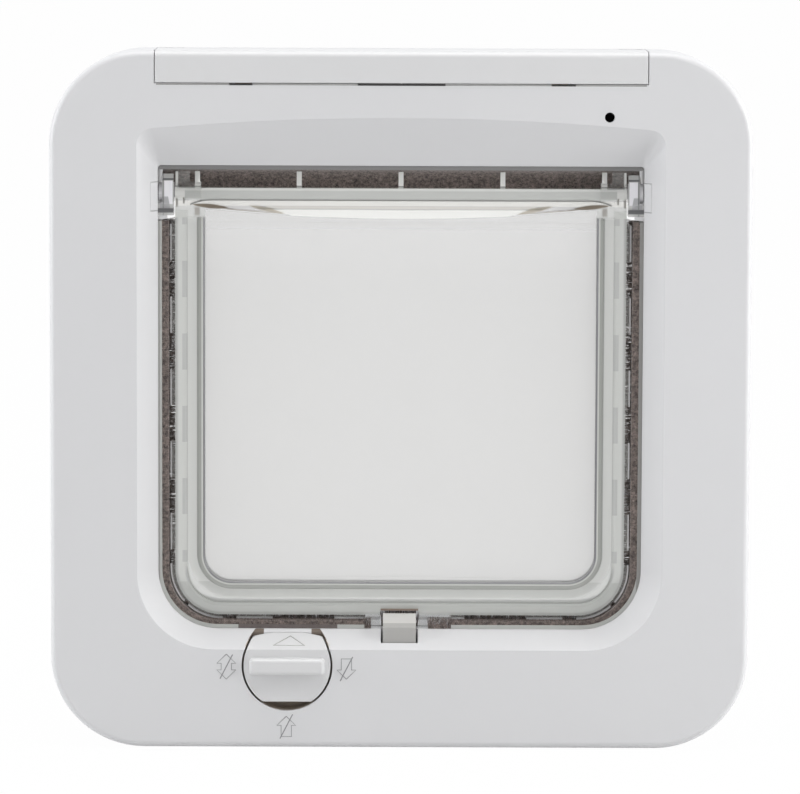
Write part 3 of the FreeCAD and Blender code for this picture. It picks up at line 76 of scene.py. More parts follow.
SHARP_ANGLE = 28.0  # degrees; edges that turn by more stay crisp
WELD = 0.002 * MM
FLAT_COSINE = 0.9999  # of the angle between a face's normal and -Y, for a face flat to the front
LOG = logging.getLogger("cat_flap")

Colour = tuple[float, float, float]
Number = Union[float, "Wire"]
Masks = dict[str, "Wire"]


def toned(colour: Colour, share: float) -> Colour:
    """A colour made darker or lighter by a share, and no lighter than white."""
    return tuple(min(c * share, 1.0) for c in colour)


def stand(name: str, data: Any) -> bpy.types.Object:
    """Put a mesh, a lamp or a camera into the scene."""
    piece = bpy.data.objects.new(name, data)
    bpy.context.scene.collection.objects.link(piece)
    return piece


class Wire:
    """One output of a shader tree, which can stand in a sum or a product."""

    def __init__(self, bench: "Bench", socket: bpy.types.NodeSocket) -> None:
        """Keep the socket and the bench that it belongs to."""
        self.bench = bench
        self.socket = socket

    def maths(self, operation: str, *values: Number) -> "Wire":
        """Add one Math node.

        Args:
            operation: The node's operation.
            values: Its inputs, numbers or wires.

        Returns:
            The node's result.
        """
        return self.bench.add("ShaderNodeMath", {"operation": operation}, values)

    def __add__(self, other: Number) -> "Wire":
        """Sum."""
        return self.maths("ADD", self, other)

    def __radd__(self, other: Number) -> "Wire":
        """Sum with a number first."""
        return self.maths("ADD", other, self)

    def __sub__(self, other: Number) -> "Wire":
        """Difference."""
        return self.maths("SUBTRACT", self, other)

    def __rsub__(self, other: Number) -> "Wire":
        """Difference with a number first."""
        return self.maths("SUBTRACT", other, self)

    def __mul__(self, other: Number) -> "Wire":
        """Product."""
        return self.maths("MULTIPLY", self, other)

    def __rmul__(self, other: Number) -> "Wire":
        """Product with a number first."""
        return self.maths("MULTIPLY", other, self)

    def __truediv__(self, other: Number) -> "Wire":
        """Quotient."""
        return self.maths("DIVIDE", self, other)

    def __abs__(self) -> "Wire":
        """Distance from zero."""
        return self.maths("ABSOLUTE", self)

    def root(self) -> "Wire":
        """Square root."""
        return self.maths("SQRT", self)

    def fraction(self) -> "Wire":
        """The part after the point."""
        return self.maths("FRACT", self)

    def sine(self) -> "Wire":
        """Sine of an angle in radians."""
        return self.maths("SINE", self)

    def above(self, limit: Number) -> "Wire":
        """1 where the value is above a limit."""
        return self.maths("GREATER_THAN", self, limit)

    def below(self, limit: Number) -> "Wire":
        """1 where the value is not above a limit."""
        return 1.0 - self.above(limit)

    def least(self, other: Number) -> "Wire":
        """The smaller of two values."""
        return self.maths("MINIMUM", self, other)

    def most(self, other: Number) -> "Wire":
        """The larger of two values."""
        return self.maths("MAXIMUM", self, other)

    def held(self) -> "Wire":
        """The value, held between 0 and 1."""
        return self.least(1.0).most(0.0)

    def band(self, low: float, high: float, soft: float) -> "Wire":
        """A soft band: 1 between two values and 0 outside them.

        Args:
            low: Where the band starts.
            high: Where it ends.
            soft: Width of each flank.

        Returns:
            The mask.
        """
        rise = ((self - (low - soft)) / soft).held()
        fall = (((high + soft) - self) / soft).held()
        return rise * fall


class Bench:
    """One shader tree, with a single way to add any node."""

    def __init__(self, owner: str | bpy.types.World) -> None:
        """Start the empty tree of a new material, given by name, or of a world."""
        self.owner = bpy.data.materials.new(owner) if isinstance(owner, str) else owner
        self.owner.use_nodes = True
        self.tree = self.owner.node_tree
        self.tree.nodes.clear()

    def add(
        self,
        kind: str,
        settings: Mapping[str, Any] | None = None,
        inputs: Sequence[Any] | Mapping[Any, Any] = (),
        output: int | str = 0,
    ) -> Wire | None:
        """Add a node.

        Args:
            kind: The node's type.
            settings: Its settings, set first.
            inputs: Values or wires by place or by socket name. None leaves a socket as it is.
            output: Which output to return.

        Returns:
            The chosen output, or None for a node that has none.
        """
        node = self.tree.nodes.new(kind)
        for key, value in (settings or {}).items():
            setattr(node, key, value)
        pairs = inputs.items() if isinstance(inputs, Mapping) else enumerate(inputs)
        for key, value in pairs:
            if isinstance(value, Wire):
                self.tree.links.new(value.socket, node.inputs[key])
            elif value is not None:
                node.inputs[key].default_value = value
        return Wire(self, node.outputs[output]) if node.outputs else None

    def place(self) -> Wire:
        """Object coordinates, in metres."""
        return self.add("ShaderNodeTexCoord", output="Object")

    def axes(self) -> tuple[Wire, Wire, Wire]:
        """The three object coordinates apart."""
        split = self.add("ShaderNodeSeparateXYZ", inputs=(self.place(),))
        node = split.socket.node
        return tuple(Wire(self, node.outputs[i]) for i in range(3))

    def noise(self, scale: float, detail: float = 3.0, rough: float = 0.5) -> Wire:
        """Noise in object space.

        Args:
            scale: Cells to the metre.
            detail: Octaves.
            rough: How strong the finer octaves are.

        Returns:
            A value about 0.5.
        """
        values = {"Vector": self.place(), "Scale": scale, "Detail": detail, "Roughness": rough}
        return self.add("ShaderNodeTexNoise", inputs=values)

    def mix(self, factor: Number, first: Colour | Wire, second: Colour | Wire) -> Wire:
        """Blend two colours."""
        a = first if isinstance(first, Wire) else (*first, 1.0)
        b = second if isinstance(second, Wire) else (*second, 1.0)
        return self.add("ShaderNodeMix", {"data_type": "RGBA"}, {0: factor, 6: a, 7: b}, 2)

    def bump(self, height: Wire, strength: float, distance: float, under: Wire | None = None) -> Wire:
        """Turn a height into a normal.

        Args:
            height: The height, 0 to 1.
            strength: How much of it shows.
            distance: The height that 1 stands for, in metres.
            under: A normal that this one adds to.

        Returns:
            The normal.
        """
        values = {"Strength": strength, "Distance": distance, "Height": height, "Normal": under}
        return self.add("ShaderNodeBump", inputs=values)

    def worn_edge(self, radius: float) -> Wire:
        """A normal that rounds the edges, as a mould does."""
        return self.add("ShaderNodeBevel", {"samples": 4}, {"Radius": radius})

    def finish(self, **sockets: Any) -> bpy.types.Material:
        """End the tree in a Principled shader.

        Args:
            sockets: Its inputs, with underscores for spaces.

        Returns:
            The finished material.
        """
        values = {}
        for key, value in sockets.items():
            is_colour = isinstance(value, tuple) and len(value) == 3
            values[key.replace("_", " ")] = (*value, 1.0) if is_colour else value
        shader = self.add("ShaderNodeBsdfPrincipled", inputs=values)
        self.add("ShaderNodeOutputMaterial", inputs={"Surface": shader})
        return self.owner


@dataclass(frozen=True)
class Finish:
    """A surface finish, made once and kept by its name."""

    name: str
    slot: str

    def material(self) -> bpy.types.Material:
        """The finish's material, built on first use."""
        return bpy.data.materials.get(self.name) or self.build()

    def build(self) -> bpy.types.Material:
        """Build the material."""
        raise NotImplementedError


@dataclass(frozen=True)
class Moulded(Finish):
    """Injection-moulded plastic with a fine spark-eroded skin, and, where asked, painted shade in the dial's well and
    below a level.
    """

    colour: Colour = (0.66, 0.66, 0.67)
    roughness: float = 0.38
    edge: float = 0.25 * MM
    grain: float = 0.02 * MM
    well_centre: tuple[float, float] | None = None
    well_r: float = 13.9 * MM
    well_front: float = -23.4 * MM
    # Painted shade in the well behind the dial: brown low down, darker above the dial's crown.
    well_shade_colour: Colour = (0.55, 0.47, 0.39)
    well_upper_shade_colour: Colour = (0.15, 0.12, 0.095)
    well_crown: float = 7.2 * MM
    well_fade: float = 1.2 * MM
    # Painted shade below a level, as a share of the colour.
    painted_shade_level: float | None = None
    painted_shade_share: float = 0.71

    def build(self) -> bpy.types.Material:
        """Build the material."""
        bench = Bench(self.name)
        cloudy = bench.noise(14.0, 4.0)
        fine = bench.noise(2600.0, 2.0, 0.6)
        colour = bench.mix(cloudy, toned(self.colour, 0.975), toned(self.colour, 1.015))
        # Painted shade in the dial's well, darker above the dial's crown.
        if self.well_centre:
            over = bench.axes()[2].above(self.well_centre[1] + self.well_crown)
            dark = bench.mix(over, self.well_shade_colour, self.well_upper_shade_colour)
            colour = bench.mix(self.well_shade_mask(bench), colour, dark)
        # Painted shade below the level.
        if self.painted_shade_level is not None:
            low = bench.axes()[2].below(self.painted_shade_level)
            colour = bench.mix(low, colour, toned(self.colour, self.painted_shade_share))
        skin = bench.bump(fine, 0.10, self.grain, bench.worn_edge(self.edge))
        gloss = self.roughness + (cloudy - 0.5) * 0.10 + (fine - 0.5) * 0.06
        return bench.finish(Base_Color=colour, Roughness=gloss, Normal=skin, IOR=1.5)

    def well_shade_mask(self, bench: Bench) -> Wire:
        """Mask of the painted shade in the round well behind the dial, everywhere but on its wall over the dial's
        crown.
        """
        x, y, z = bench.axes()
        across, up = x - self.well_centre[0], z - self.well_centre[1]
        away = (across * across + up * up).root()
        deep = ((y - self.well_front) / self.well_fade).held()
        crown = abs(across).below(self.well_crown) * up.above(0.0)
        return away.below(self.well_r) * deep * (1.0 - crown)


@dataclass(frozen=True)
class ClearMoulding(Finish):
    """Clear plastic with painted light and shade in relief bands that follow the window and the flap's edge.

    The masks work in millimetres. A tone names a mask, how much of it shows, and its colour, and later tones
    lie over earlier ones.
    """

    window_half: float = 58.9 * MM
    window_low: float = -55.8 * MM
    window_r: float = 8.2 * MM
    edge_half: float = 67.9 * MM
    edge_low: float = -66.0 * MM
    edge_r: float = 14.0 * MM
    rail_foot: float = 54.5
    rim_top: float = 56.5
    corner_top: float = -52.0
    sill_top: float = -56.0
    tab_first: float = 46.9
    tab_pitch: float = 21.95
    gaps_low: float = -50.0
    notch_half: float = 5.7
    lens_sag: float = 2.6
    body_alpha: float = 0.42
    least_alpha: float = 0.08
    pane: Colour = (0.665, 0.66, 0.65)
    skin: Colour = (0.66, 0.67, 0.64)
    tones: tuple[tuple[str, float, Colour], ...] = (
        ("web", 1.0, (0.77, 0.78, 0.75)),
        # Painted shade along the bead, and a painted highlight beside it.
        ("bead", 1.0, (0.36, 0.37, 0.345)),
        ("shine", 1.0, (0.62, 0.63, 0.60)),
        # Painted shade at the flap's outer rim; darker gaps between the tabs; painted shade along the crease inside the
        # rim.
        ("soft_edge", 0.6, (0.34, 0.34, 0.33)),
        ("gaps", 0.5, (0.40, 0.41, 0.40)),
        ("crease", 1.0, (0.44, 0.45, 0.44)),
        ("rail", 1.0, (0.56, 0.57, 0.545)),
        ("rail_top", 1.0, (0.74, 0.75, 0.72)),
        ("crown", 1.0, (0.86, 0.86, 0.83)),
        ("sill", 0.45, (0.46, 0.47, 0.44)),
        ("rail_end", 1.0, (0.80, 0.80, 0.77)),
        # Painted light band, painted shade band and the painted lens highlight under the rail.
        ("cream", 1.0, (1.0, 0.985, 0.93)),
        ("tan", 1.0, (0.78, 0.75, 0.69)),
        ("glow", 1.0, (1.0, 1.0, 0.97)),
        # Painted shadow streaks at the rail's ends.
        ("fawn", 1.0, (0.50, 0.46, 0.39)),
        ("brown", 1.0, (0.24, 0.20, 0.155)),
        ("spot", 0.8, (0.34, 0.31, 0.27)),
        ("marks", 1.0, (0.22, 0.21, 0.19)),
        # Painted shade lines along the window's edge and the rail's lower edge, and painted shade over the notch.
        ("line", 1.0, (0.19, 0.19, 0.20)),
        ("dark_rail", 1.0, (0.26, 0.26, 0.25)),
        ("notch", 1.0, (0.20, 0.15, 0.12)),
        # Painted highlight along the tabs' edge.
        ("tab_line", 1.0, (0.82, 0.81, 0.82)),
    )
    formed: tuple[tuple[str, float], ...] = (
        ("bead", 1.3), ("web", 0.65), ("rail", 1.0), ("cream", 0.1), ("tan", 0.4), ("glow", 1.0), ("rim", 0.75),
    )
    # Most of these are painted shade lines, painted shadow streaks and painted highlights, made more opaque so that
    # they show.
    drawn: tuple[tuple[str, float], ...] = (
        ("line", 1.0), ("dark_rail", 1.0), ("crease", 0.7), ("notch", 1.0), ("brown", 1.0),
        ("fawn", 0.8), ("tab_line", 0.9), ("spot", 0.5), ("marks", 0.7),
    )

    def outside(self, bench: Bench, half: float, low: float, radius: float) -> Wire:
        """Distance outside a U with round lower corners.

        Args:
            bench: The tree.
            half: The U's half width.
            low: Its lowest level.
            radius: Its corner radius.

        Returns:
            The distance in millimetres, negative inside.
        """
        x, _, z = bench.axes()
        across = abs(x) - (half - radius)
        down = (low + radius) - z
        past_x, past_z = across.most(0.0), down.most(0.0)
        far = (past_x * past_x + past_z * past_z).root()
        near = across.most(down).least(0.0)
        return (far + near - radius) / MM

    @staticmethod
    def streak(
        wide: Wire, height: Wire, outer: tuple[float, float], inner: tuple[float, float], thick: float
    ) -> Wire:
        """A painted shadow streak that tapers to both of its ends.

        Args:
            wide: Distance from the flap's middle.
            height: Height.
            outer: Distance and height of the end nearer the flap's side.
            inner: Distance and height of the end nearer its middle.
            thick: How thick the streak is at its own middle.

        Returns:
            The mask.
        """
        along = ((wide - inner[0]) / (outer[0] - inner[0])).held()
        middle = along * (outer[1] - inner[1]) + inner[1]
        room = along * (1.0 - along) * (2.0 * thick)
        return ((room - abs(height - middle)) / 0.12).held()

    def around(self, bench: Bench, height: Wire) -> Masks:
        """Masks of the bands round the window and along the flap's edge."""
        window = self.outside(bench, self.window_half, self.window_low, self.window_r)
        edge = 0.0 - self.outside(bench, self.edge_half, self.edge_low, self.edge_r)
        sides = height.below(self.rail_foot)
        web = window.band(2.6, 5.1, 0.3) * sides
        rim = edge.band(0.1, 3.6, 0.15) * height.below(self.rim_top)
        tab_step = ((height - self.tab_first) / self.tab_pitch + 0.25).fraction()
        return {
            "inside": 1.0 - window.above(0.0),
            # Painted shade line at the window's edge, painted shade on the bead and a painted highlight beside it.
            "line": window.band(0.1, 0.5, 0.12) * sides,
            "bead": window.band(0.6, 2.3, 0.3) * sides,
            "shine": window.band(0.7, 0.95, 0.15) * sides,
            "web": web,
            "rim": rim,
            "sill": web.most(rim) * height.below(self.sill_top),
            # Painted shade along the crease inside the rim and at the flap's outer edge.
            "crease": edge.band(3.1, 3.5, 0.25) * sides * (height.below(self.corner_top) * 0.75 + 0.25),
            "soft_edge": edge.band(-0.1, 0.5, 0.6) * sides,
            "gaps": tab_step.above(0.5) * edge.band(2.2, 3.6, 0.1) * sides * height.above(self.gaps_low),
            "tab": (0.0 - edge).above(0.05),
            # Painted highlight along the tabs' edge.
            "tab_line": edge.band(-1.55, -1.1, 0.08),
        }

    def over(self, x: Wire, wide: Wire, height: Wire) -> Masks:
        """Masks of the top rail, the painted light and shade bands and the lens of painted light under it, and the
        painted shadow streaks at its ends.
        """
        bend = ((wide - 57.0) / 5.0).most(0.0)
        bowed = height + bend * bend * 0.9
        sag = self.lens_sag * (1.0 - (x / self.window_half) * (x / self.window_half))
        lens_end = (35.2 + (height - 55.65) * 4.45 - wide).held()
        long_streak = self.streak(wide, height, (60.0, 57.7), (34.0, 55.6), 0.34)
        return {
            "crown": height.above(64.1),
            "rail": height.band(60.0, 63.6, 0.15),
            "rail_top": height.band(62.8, 63.6, 0.3),
            # Painted shade line along the rail's lower edge.
            "dark_rail": bowed.band(59.6, 59.95, 0.12) * wide.below(63.4),
            # Painted light band, painted shade band and painted lens highlight under the rail.
            "cream": height.band(58.1, 59.5, 0.2),
            "tan": height.band(57.2, 57.8, 0.2) * (41.0 - wide).held(),
            "glow": (height + sag).band(57.0, 59.4, 0.25) * height.band(54.0, 56.9, 0.2) * lens_end,
            # Painted shadow streaks at the rail's ends.
            "brown": self.streak(wide, height, (63.1, 58.35), (51.5, 57.3), 1.35).most(long_streak),
            "fawn": self.streak(wide, height, (46.1, 58.1), (34.6, 55.7), 1.3),
        }

    def ends(self, wide: Wire, height: Wire) -> Masks:
        """Masks of the painted shade over the notch, the hinge bosses and the small marks near them."""
        rib = wide.band(60.2, 61.9, 0.1).most(wide.band(67.1, 67.7, 0.1))
        inner_mark = wide.band(65.1, 65.4, 0.25) * height.band(58.8, 60.4, 0.4)
        outer_mark = wide.band(67.2, 67.5, 0.25) * height.band(57.8, 60.0, 0.5)
        return {
            # Painted shade over the notch, where the brush behind it lies in shadow.
            "notch": height.band(-64.9, -64.1, 0.1) * wide.below(self.notch_half),
            "hollow": wide.above(59.8) * height.above(63.35) * (1.0 - rib),
            "rail_end": wide.above(64.9) * height.band(60.0, 63.3, 0.2),
            "spot": wide.band(60.8, 61.8, 0.6) * height.band(55.4, 57.2, 0.9),
            "marks": inner_mark.most(outer_mark),
        }

    @staticmethod
    def strongest(masks: Masks, shares: Sequence[tuple[str, float]]) -> Wire:
        """The strongest of some masks, each with its share."""
        result: Wire | None = None
        for name, share in shares:
            mask = masks[name] * share
            result = mask if result is None else result.most(mask)
        return result

    def build(self) -> bpy.types.Material:
        """Build the material."""
        bench = Bench(self.name)
        x, _, z = bench.axes()
        height, wide = z / MM, abs(x) / MM
        masks = {**self.around(bench, height), **self.over(x, wide, height), **self.ends(wide, height)}
        colour = bench.mix(masks["inside"], self.skin, self.pane)
        for name, share, tone in self.tones:
            colour = bench.mix(masks[name] * share, colour, tone)
        # Painted shading in the window: its alpha thins in a gradient towards the rail, but not in the lens highlight.
        under = ((height - 36.0) / 19.0).held() * height.below(57.0) * masks["inside"] * (1.0 - masks["glow"])
        thin = masks["tab"] * (1.0 - masks["tab_line"]) * 0.25 + under * 0.09 + masks["hollow"] * 0.75
        formed, drawn = self.strongest(masks, self.formed), self.strongest(masks, self.drawn)
        alpha = self.body_alpha + formed * 0.29 + drawn * 0.5 + masks["crown"] * 0.45 - thin
        return bench.finish(
            Base_Color=colour,
            Alpha=alpha.least(1.0).most(self.least_alpha),
            Roughness=0.10 + bench.noise(40.0) * 0.08,
            Normal=bench.bump(bench.noise(60.0, 2.0), 0.15, 0.1 * MM),
            IOR=1.49,
        )


@dataclass(frozen=True)
class ClipMoulding(Finish):
    """Clear clip round a pivot pin, with the pin's pale shape, partly a painted highlight, and painted shadows showing
    in it.
    """

    def build(self) -> bpy.types.Material:
        """Build the material."""
        bench = Bench(self.name)
        x, _, z = bench.axes()
        height, wide = z / MM, abs(x) / MM
        taper = (62.0 - height).most(0.0) * 0.18
        pin = height.band(58.7, 65.5, 0.25) * wide.band(68.6, 71.0, 0.15)
        grey = height.band(57.3, 60.6, 0.5) * (wide + taper).band(70.2, 73.0, 0.2)
        shade = height.band(65.85, 66.3, 0.15).most(height.band(56.1, 57.2, 0.25))
        shade = shade.most(wide.band(71.2, 71.5, 0.1) * 0.6)
        cloudy = bench.noise(900.0, 3.0)
        colour = bench.mix(cloudy, (0.48, 0.48, 0.47), (0.66, 0.66, 0.64))
        # The pin's pale shape, brightened as a painted highlight on its front.
        colour = bench.mix(pin, colour, (0.90, 0.89, 0.92))
        colour = bench.mix(grey, colour, (0.46, 0.46, 0.47))
        # Painted shadows across the clip.
        colour = bench.mix(shade, colour, (0.12, 0.12, 0.125))
        alpha = (0.62 + pin * 0.3 + shade * 0.3).least(1.0)
        return bench.finish(Base_Color=colour, Alpha=alpha, Roughness=0.12 + cloudy * 0.05, IOR=1.49)


@dataclass(frozen=True)
class Bristle(Finish):
    """Dense grey-brown pile."""

    dark: Colour = (0.05, 0.039, 0.036)
    pale: Colour = (0.405, 0.33, 0.295)

    def build(self) -> bpy.types.Material:
        """Build the material."""
        bench = Bench(self.name)
        strand = bench.noise(3200.0, 2.0, 0.7)
        tuft = bench.noise(1050.0, 3.0, 0.6)
        blend = (strand - 0.5) * 1.6 + (tuft - 0.5) * 1.8 + 0.42
        colour = bench.mix(blend.held(), self.dark, self.pale)
        return bench.finish(Base_Color=colour, Roughness=0.55 + strand * 0.2, Sheen_Weight=0.3)


@dataclass(frozen=True)
class Strip(Finish):
    """Pale strip that holds the pile, dark where bristles hang over the dial's well, with painted shade on its right
    side and a painted shadow line on its left.
    """

    pale: Colour = (0.47, 0.475, 0.455)
    shaded: Colour = (0.27, 0.265, 0.255)
    dark: Colour = (0.12, 0.10, 0.094)
    top: Colour = (0.24, 0.237, 0.235)
    shaded_from: float = 71.6 * MM
    # Where the painted shadow line lies, from the middle.
    gap_shadow: float = 72.65 * MM
    dark_from: float = -48.7 * MM
    dark_to: float = -18.9 * MM
    low: float = -66.0 * MM
    high: float = 62.0 * MM

    def build(self) -> bpy.types.Material:
        """Build the material."""
        bench = Bench(self.name)
        x, _, z = bench.axes()
        over_dial = x.band(self.dark_from, self.dark_to, 0.2 * MM) * z.below(self.low)
        cloudy = bench.noise(700.0, 3.0)
        pale = bench.mix(cloudy, toned(self.pale, 0.9), self.pale)
        # Painted shade on the strip's right side.
        pale = bench.mix(x.above(self.shaded_from), pale, self.shaded)
        # Painted shadow line on the left, where the gap beside the strip lies in shade.
        gap_shadow = (0.0 - x).band(self.gap_shadow - 0.1 * MM, self.gap_shadow + 0.1 * MM, 0.1 * MM)
        pale = bench.mix(gap_shadow * z.below(self.high), pale, self.shaded)
        dark = bench.mix(cloudy, toned(self.dark, 0.7), toned(self.dark, 1.4))
        colour = bench.mix(z.above(self.high), bench.mix(over_dial, pale, dark), self.top)
        skin = bench.bump(cloudy, 0.1, 0.02 * MM, bench.worn_edge(0.15 * MM))
        return bench.finish(Base_Color=colour, Roughness=0.45 + cloudy * 0.1, Normal=skin)


@dataclass(frozen=True)
class Metal(Finish):
    """Plated or drawn metal with fine scratches."""

    colour: Colour = (0.62, 0.62, 0.64)
    roughness: float = 0.3
    stretch: tuple[float, float, float] = (1.0, 1.0, 1.0)

    def build(self) -> bpy.types.Material:
        """Build the material."""
        bench = Bench(self.name)
        turned = bench.add("ShaderNodeMapping", inputs={"Vector": bench.place(), "Scale": self.stretch})
        lines = bench.add("ShaderNodeTexNoise", inputs={"Vector": turned, "Scale": 1800.0, "Detail": 3.0})
        dull = bench.noise(90.0, 4.0)
        colour = bench.mix(dull, toned(self.colour, 0.8), self.colour)
        gloss = self.roughness + (lines - 0.5) * 0.25
        normal = bench.bump(lines, 0.15, 0.03 * MM, bench.worn_edge(0.08 * MM))
        return bench.finish(Base_Color=colour, Metallic=1.0, Roughness=gloss, Normal=normal)


@dataclass(frozen=True)
class Winding(Finish):
    """Enamelled copper wire, wound turn beside turn."""

    turns_per_metre: float = 3300.0
    axis: int = 1

    def build(self) -> bpy.types.Material:
        """Build the material."""
        bench = Bench(self.name)
        along = bench.axes()[self.axis]
        round_wire = (along * self.turns_per_metre * math.tau).sine() * 0.5 + 0.5
        # Each turn is painted darker at its sides and lighter on its crown: painted shading of the round wire.
        shade = bench.mix(round_wire, (0.20, 0.07, 0.03), (0.62, 0.27, 0.12))
        colour = bench.mix(bench.noise(260.0) * 0.4, shade, (0.72, 0.38, 0.18))
        skin = bench.bump(round_wire, 0.5, 0.1 * MM)
        return bench.finish(Base_Color=colour, Metallic=0.7, Roughness=0.35 - round_wire * 0.1, Normal=skin)


@dataclass(frozen=True)
class Laminate(Finish):
    """Green coated board with pale tracks and dark chips, told apart by height."""

    track_pitch: float = 1.6 * MM
    board_face: float = -8.0 * MM
    step: float = 0.1 * MM

    def build(self) -> bpy.types.Material:
        """Build the material."""
        bench = Bench(self.name)
        x, y, z = bench.axes()
        bend = bench.noise(120.0, 1.0) * 2.0
        tracks = ((x + z) / self.track_pitch + bend).fraction().above(0.62) * 0.55
        board = bench.mix(tracks, (0.02, 0.12, 0.05), (0.05, 0.24, 0.10))
        chip = y.below(self.board_face - self.step)
        colour = bench.mix(chip, board, (0.018, 0.018, 0.02))
        gloss = 0.3 + chip * 0.25 + bench.noise(900.0) * 0.08
        return bench.finish(Base_Color=colour, Roughness=gloss, Normal=bench.bump(tracks, 0.4, 0.04 * MM))


@dataclass(frozen=True)
class Sleeve(Finish):
    """Plain two-tone sleeve of a round cell, with bright metal at its ends."""

    body_end: float = 36.0 * MM
    cap_from: float = 49.9 * MM
    metal: Colour = (0.66, 0.66, 0.66)
    dark: Colour = (0.03, 0.032, 0.036)
    band: Colour = (0.50, 0.32, 0.12)

    def build(self) -> bpy.types.Material:
        """Build the material."""
        bench = Bench(self.name)
        reach = abs(bench.axes()[0])
        second, cap = reach.above(self.body_end), reach.above(self.cap_from)
        colour = bench.mix(cap, bench.mix(second, self.dark, self.band), self.metal)
        gloss = 0.22 + bench.noise(300.0, 4.0) * 0.15
        return bench.finish(Base_Color=colour, Metallic=cap * 0.9 + second * 0.4, Roughness=gloss)


@dataclass(frozen=True)
class Resin(Finish):
    """Tinted lamp resin."""

    colour: Colour = (0.0012, 0.0008, 0.0008)

    def build(self) -> bpy.types.Material:
        """Build the material."""
        bench = Bench(self.name)
        deep = bench.noise(500.0)
        colour = bench.mix(deep, self.colour, toned(self.colour, 2.0))
        return bench.finish(Base_Color=colour, Roughness=0.5 + deep * 0.05, Specular_IOR_Level=0.02)


@dataclass(frozen=True)
class Ink(Finish):
    """Grey printed or engraved line."""

    colour: Colour = (0.40, 0.40, 0.405)

    def build(self) -> bpy.types.Material:
        """Build the material."""
        bench = Bench(self.name)
        grain = bench.noise(1500.0)
        colour = bench.mix(grain, toned(self.colour, 0.85), toned(self.colour, 1.12))
        return bench.finish(Base_Color=colour, Roughness=0.5 + grain * 0.1)


WHITE = Moulded("white_moulding", "white_plastic")
# The fascia carries painted shade in the dial's well.
FASCIA = Moulded("fascia_moulding", "white_plastic", well_centre=(-33.8 * MM, -80.0 * MM))
COVER = Moulded("cover_moulding", "cover_plastic", (0.66, 0.66, 0.665))
DIAL = Moulded("dial_moulding", "dial_plastic", (0.655, 0.655, 0.66), 0.30)
# The catch's lower face, in the slot's shade, is painted darker.
CATCH = Moulded("catch_moulding", "catch_plastic", (0.565, 0.555, 0.535), 0.42, painted_shade_level=-67.7 * MM)
ACETAL = Moulded("acetal_moulding", "pin_plastic", (0.78, 0.77, 0.79), 0.25)
BUTTON = Moulded("button_moulding", "button_plastic", (0.19, 0.20, 0.21), 0.45)
STRIP = Strip("brush_strip", "brush_backing")
CLEAR = ClearMoulding("clear_moulding", "clear_plastic")
CLIP = ClipMoulding("clip_moulding", "pin_plastic")
PILE = Bristle("brush_bristle", "brush_pile")
SCREW = Metal("plated_screw", "screw_steel", roughness=0.28)
PRESSED = Metal("pressed_steel", "solenoid_steel", (0.56, 0.56, 0.58), 0.34, (1.0, 1.0, 0.08))
SPRING = Metal("spring_wire", "spring_steel", (0.64, 0.64, 0.66), 0.24)
AERIAL = Winding("aerial_winding", "copper_winding", axis=1)
SOLENOID = Winding("solenoid_winding", "copper_winding", 2600.0, 2)
BOARD = Laminate("coated_board", "board_laminate")
CELL = Sleeve("cell_sleeve", "cell_wrap")
LAMP = Resin("tinted_resin", "lamp_resin")
INK = Ink("symbol_ink", "white_plastic", (0.27, 0.27, 0.275))
POINTER = Ink("pointer_mark", "dial_plastic", (0.42, 0.42, 0.40))
# Painted shadow laid along the battery cover's joint: a grey line, and darker stretches at the slots.
SHADE = Ink("joint_shade", "cover_plastic", (0.30, 0.30, 0.295))
SEAM_SHADOW = Ink("joint_shadow", "cover_plastic", (0.018, 0.016, 0.015))


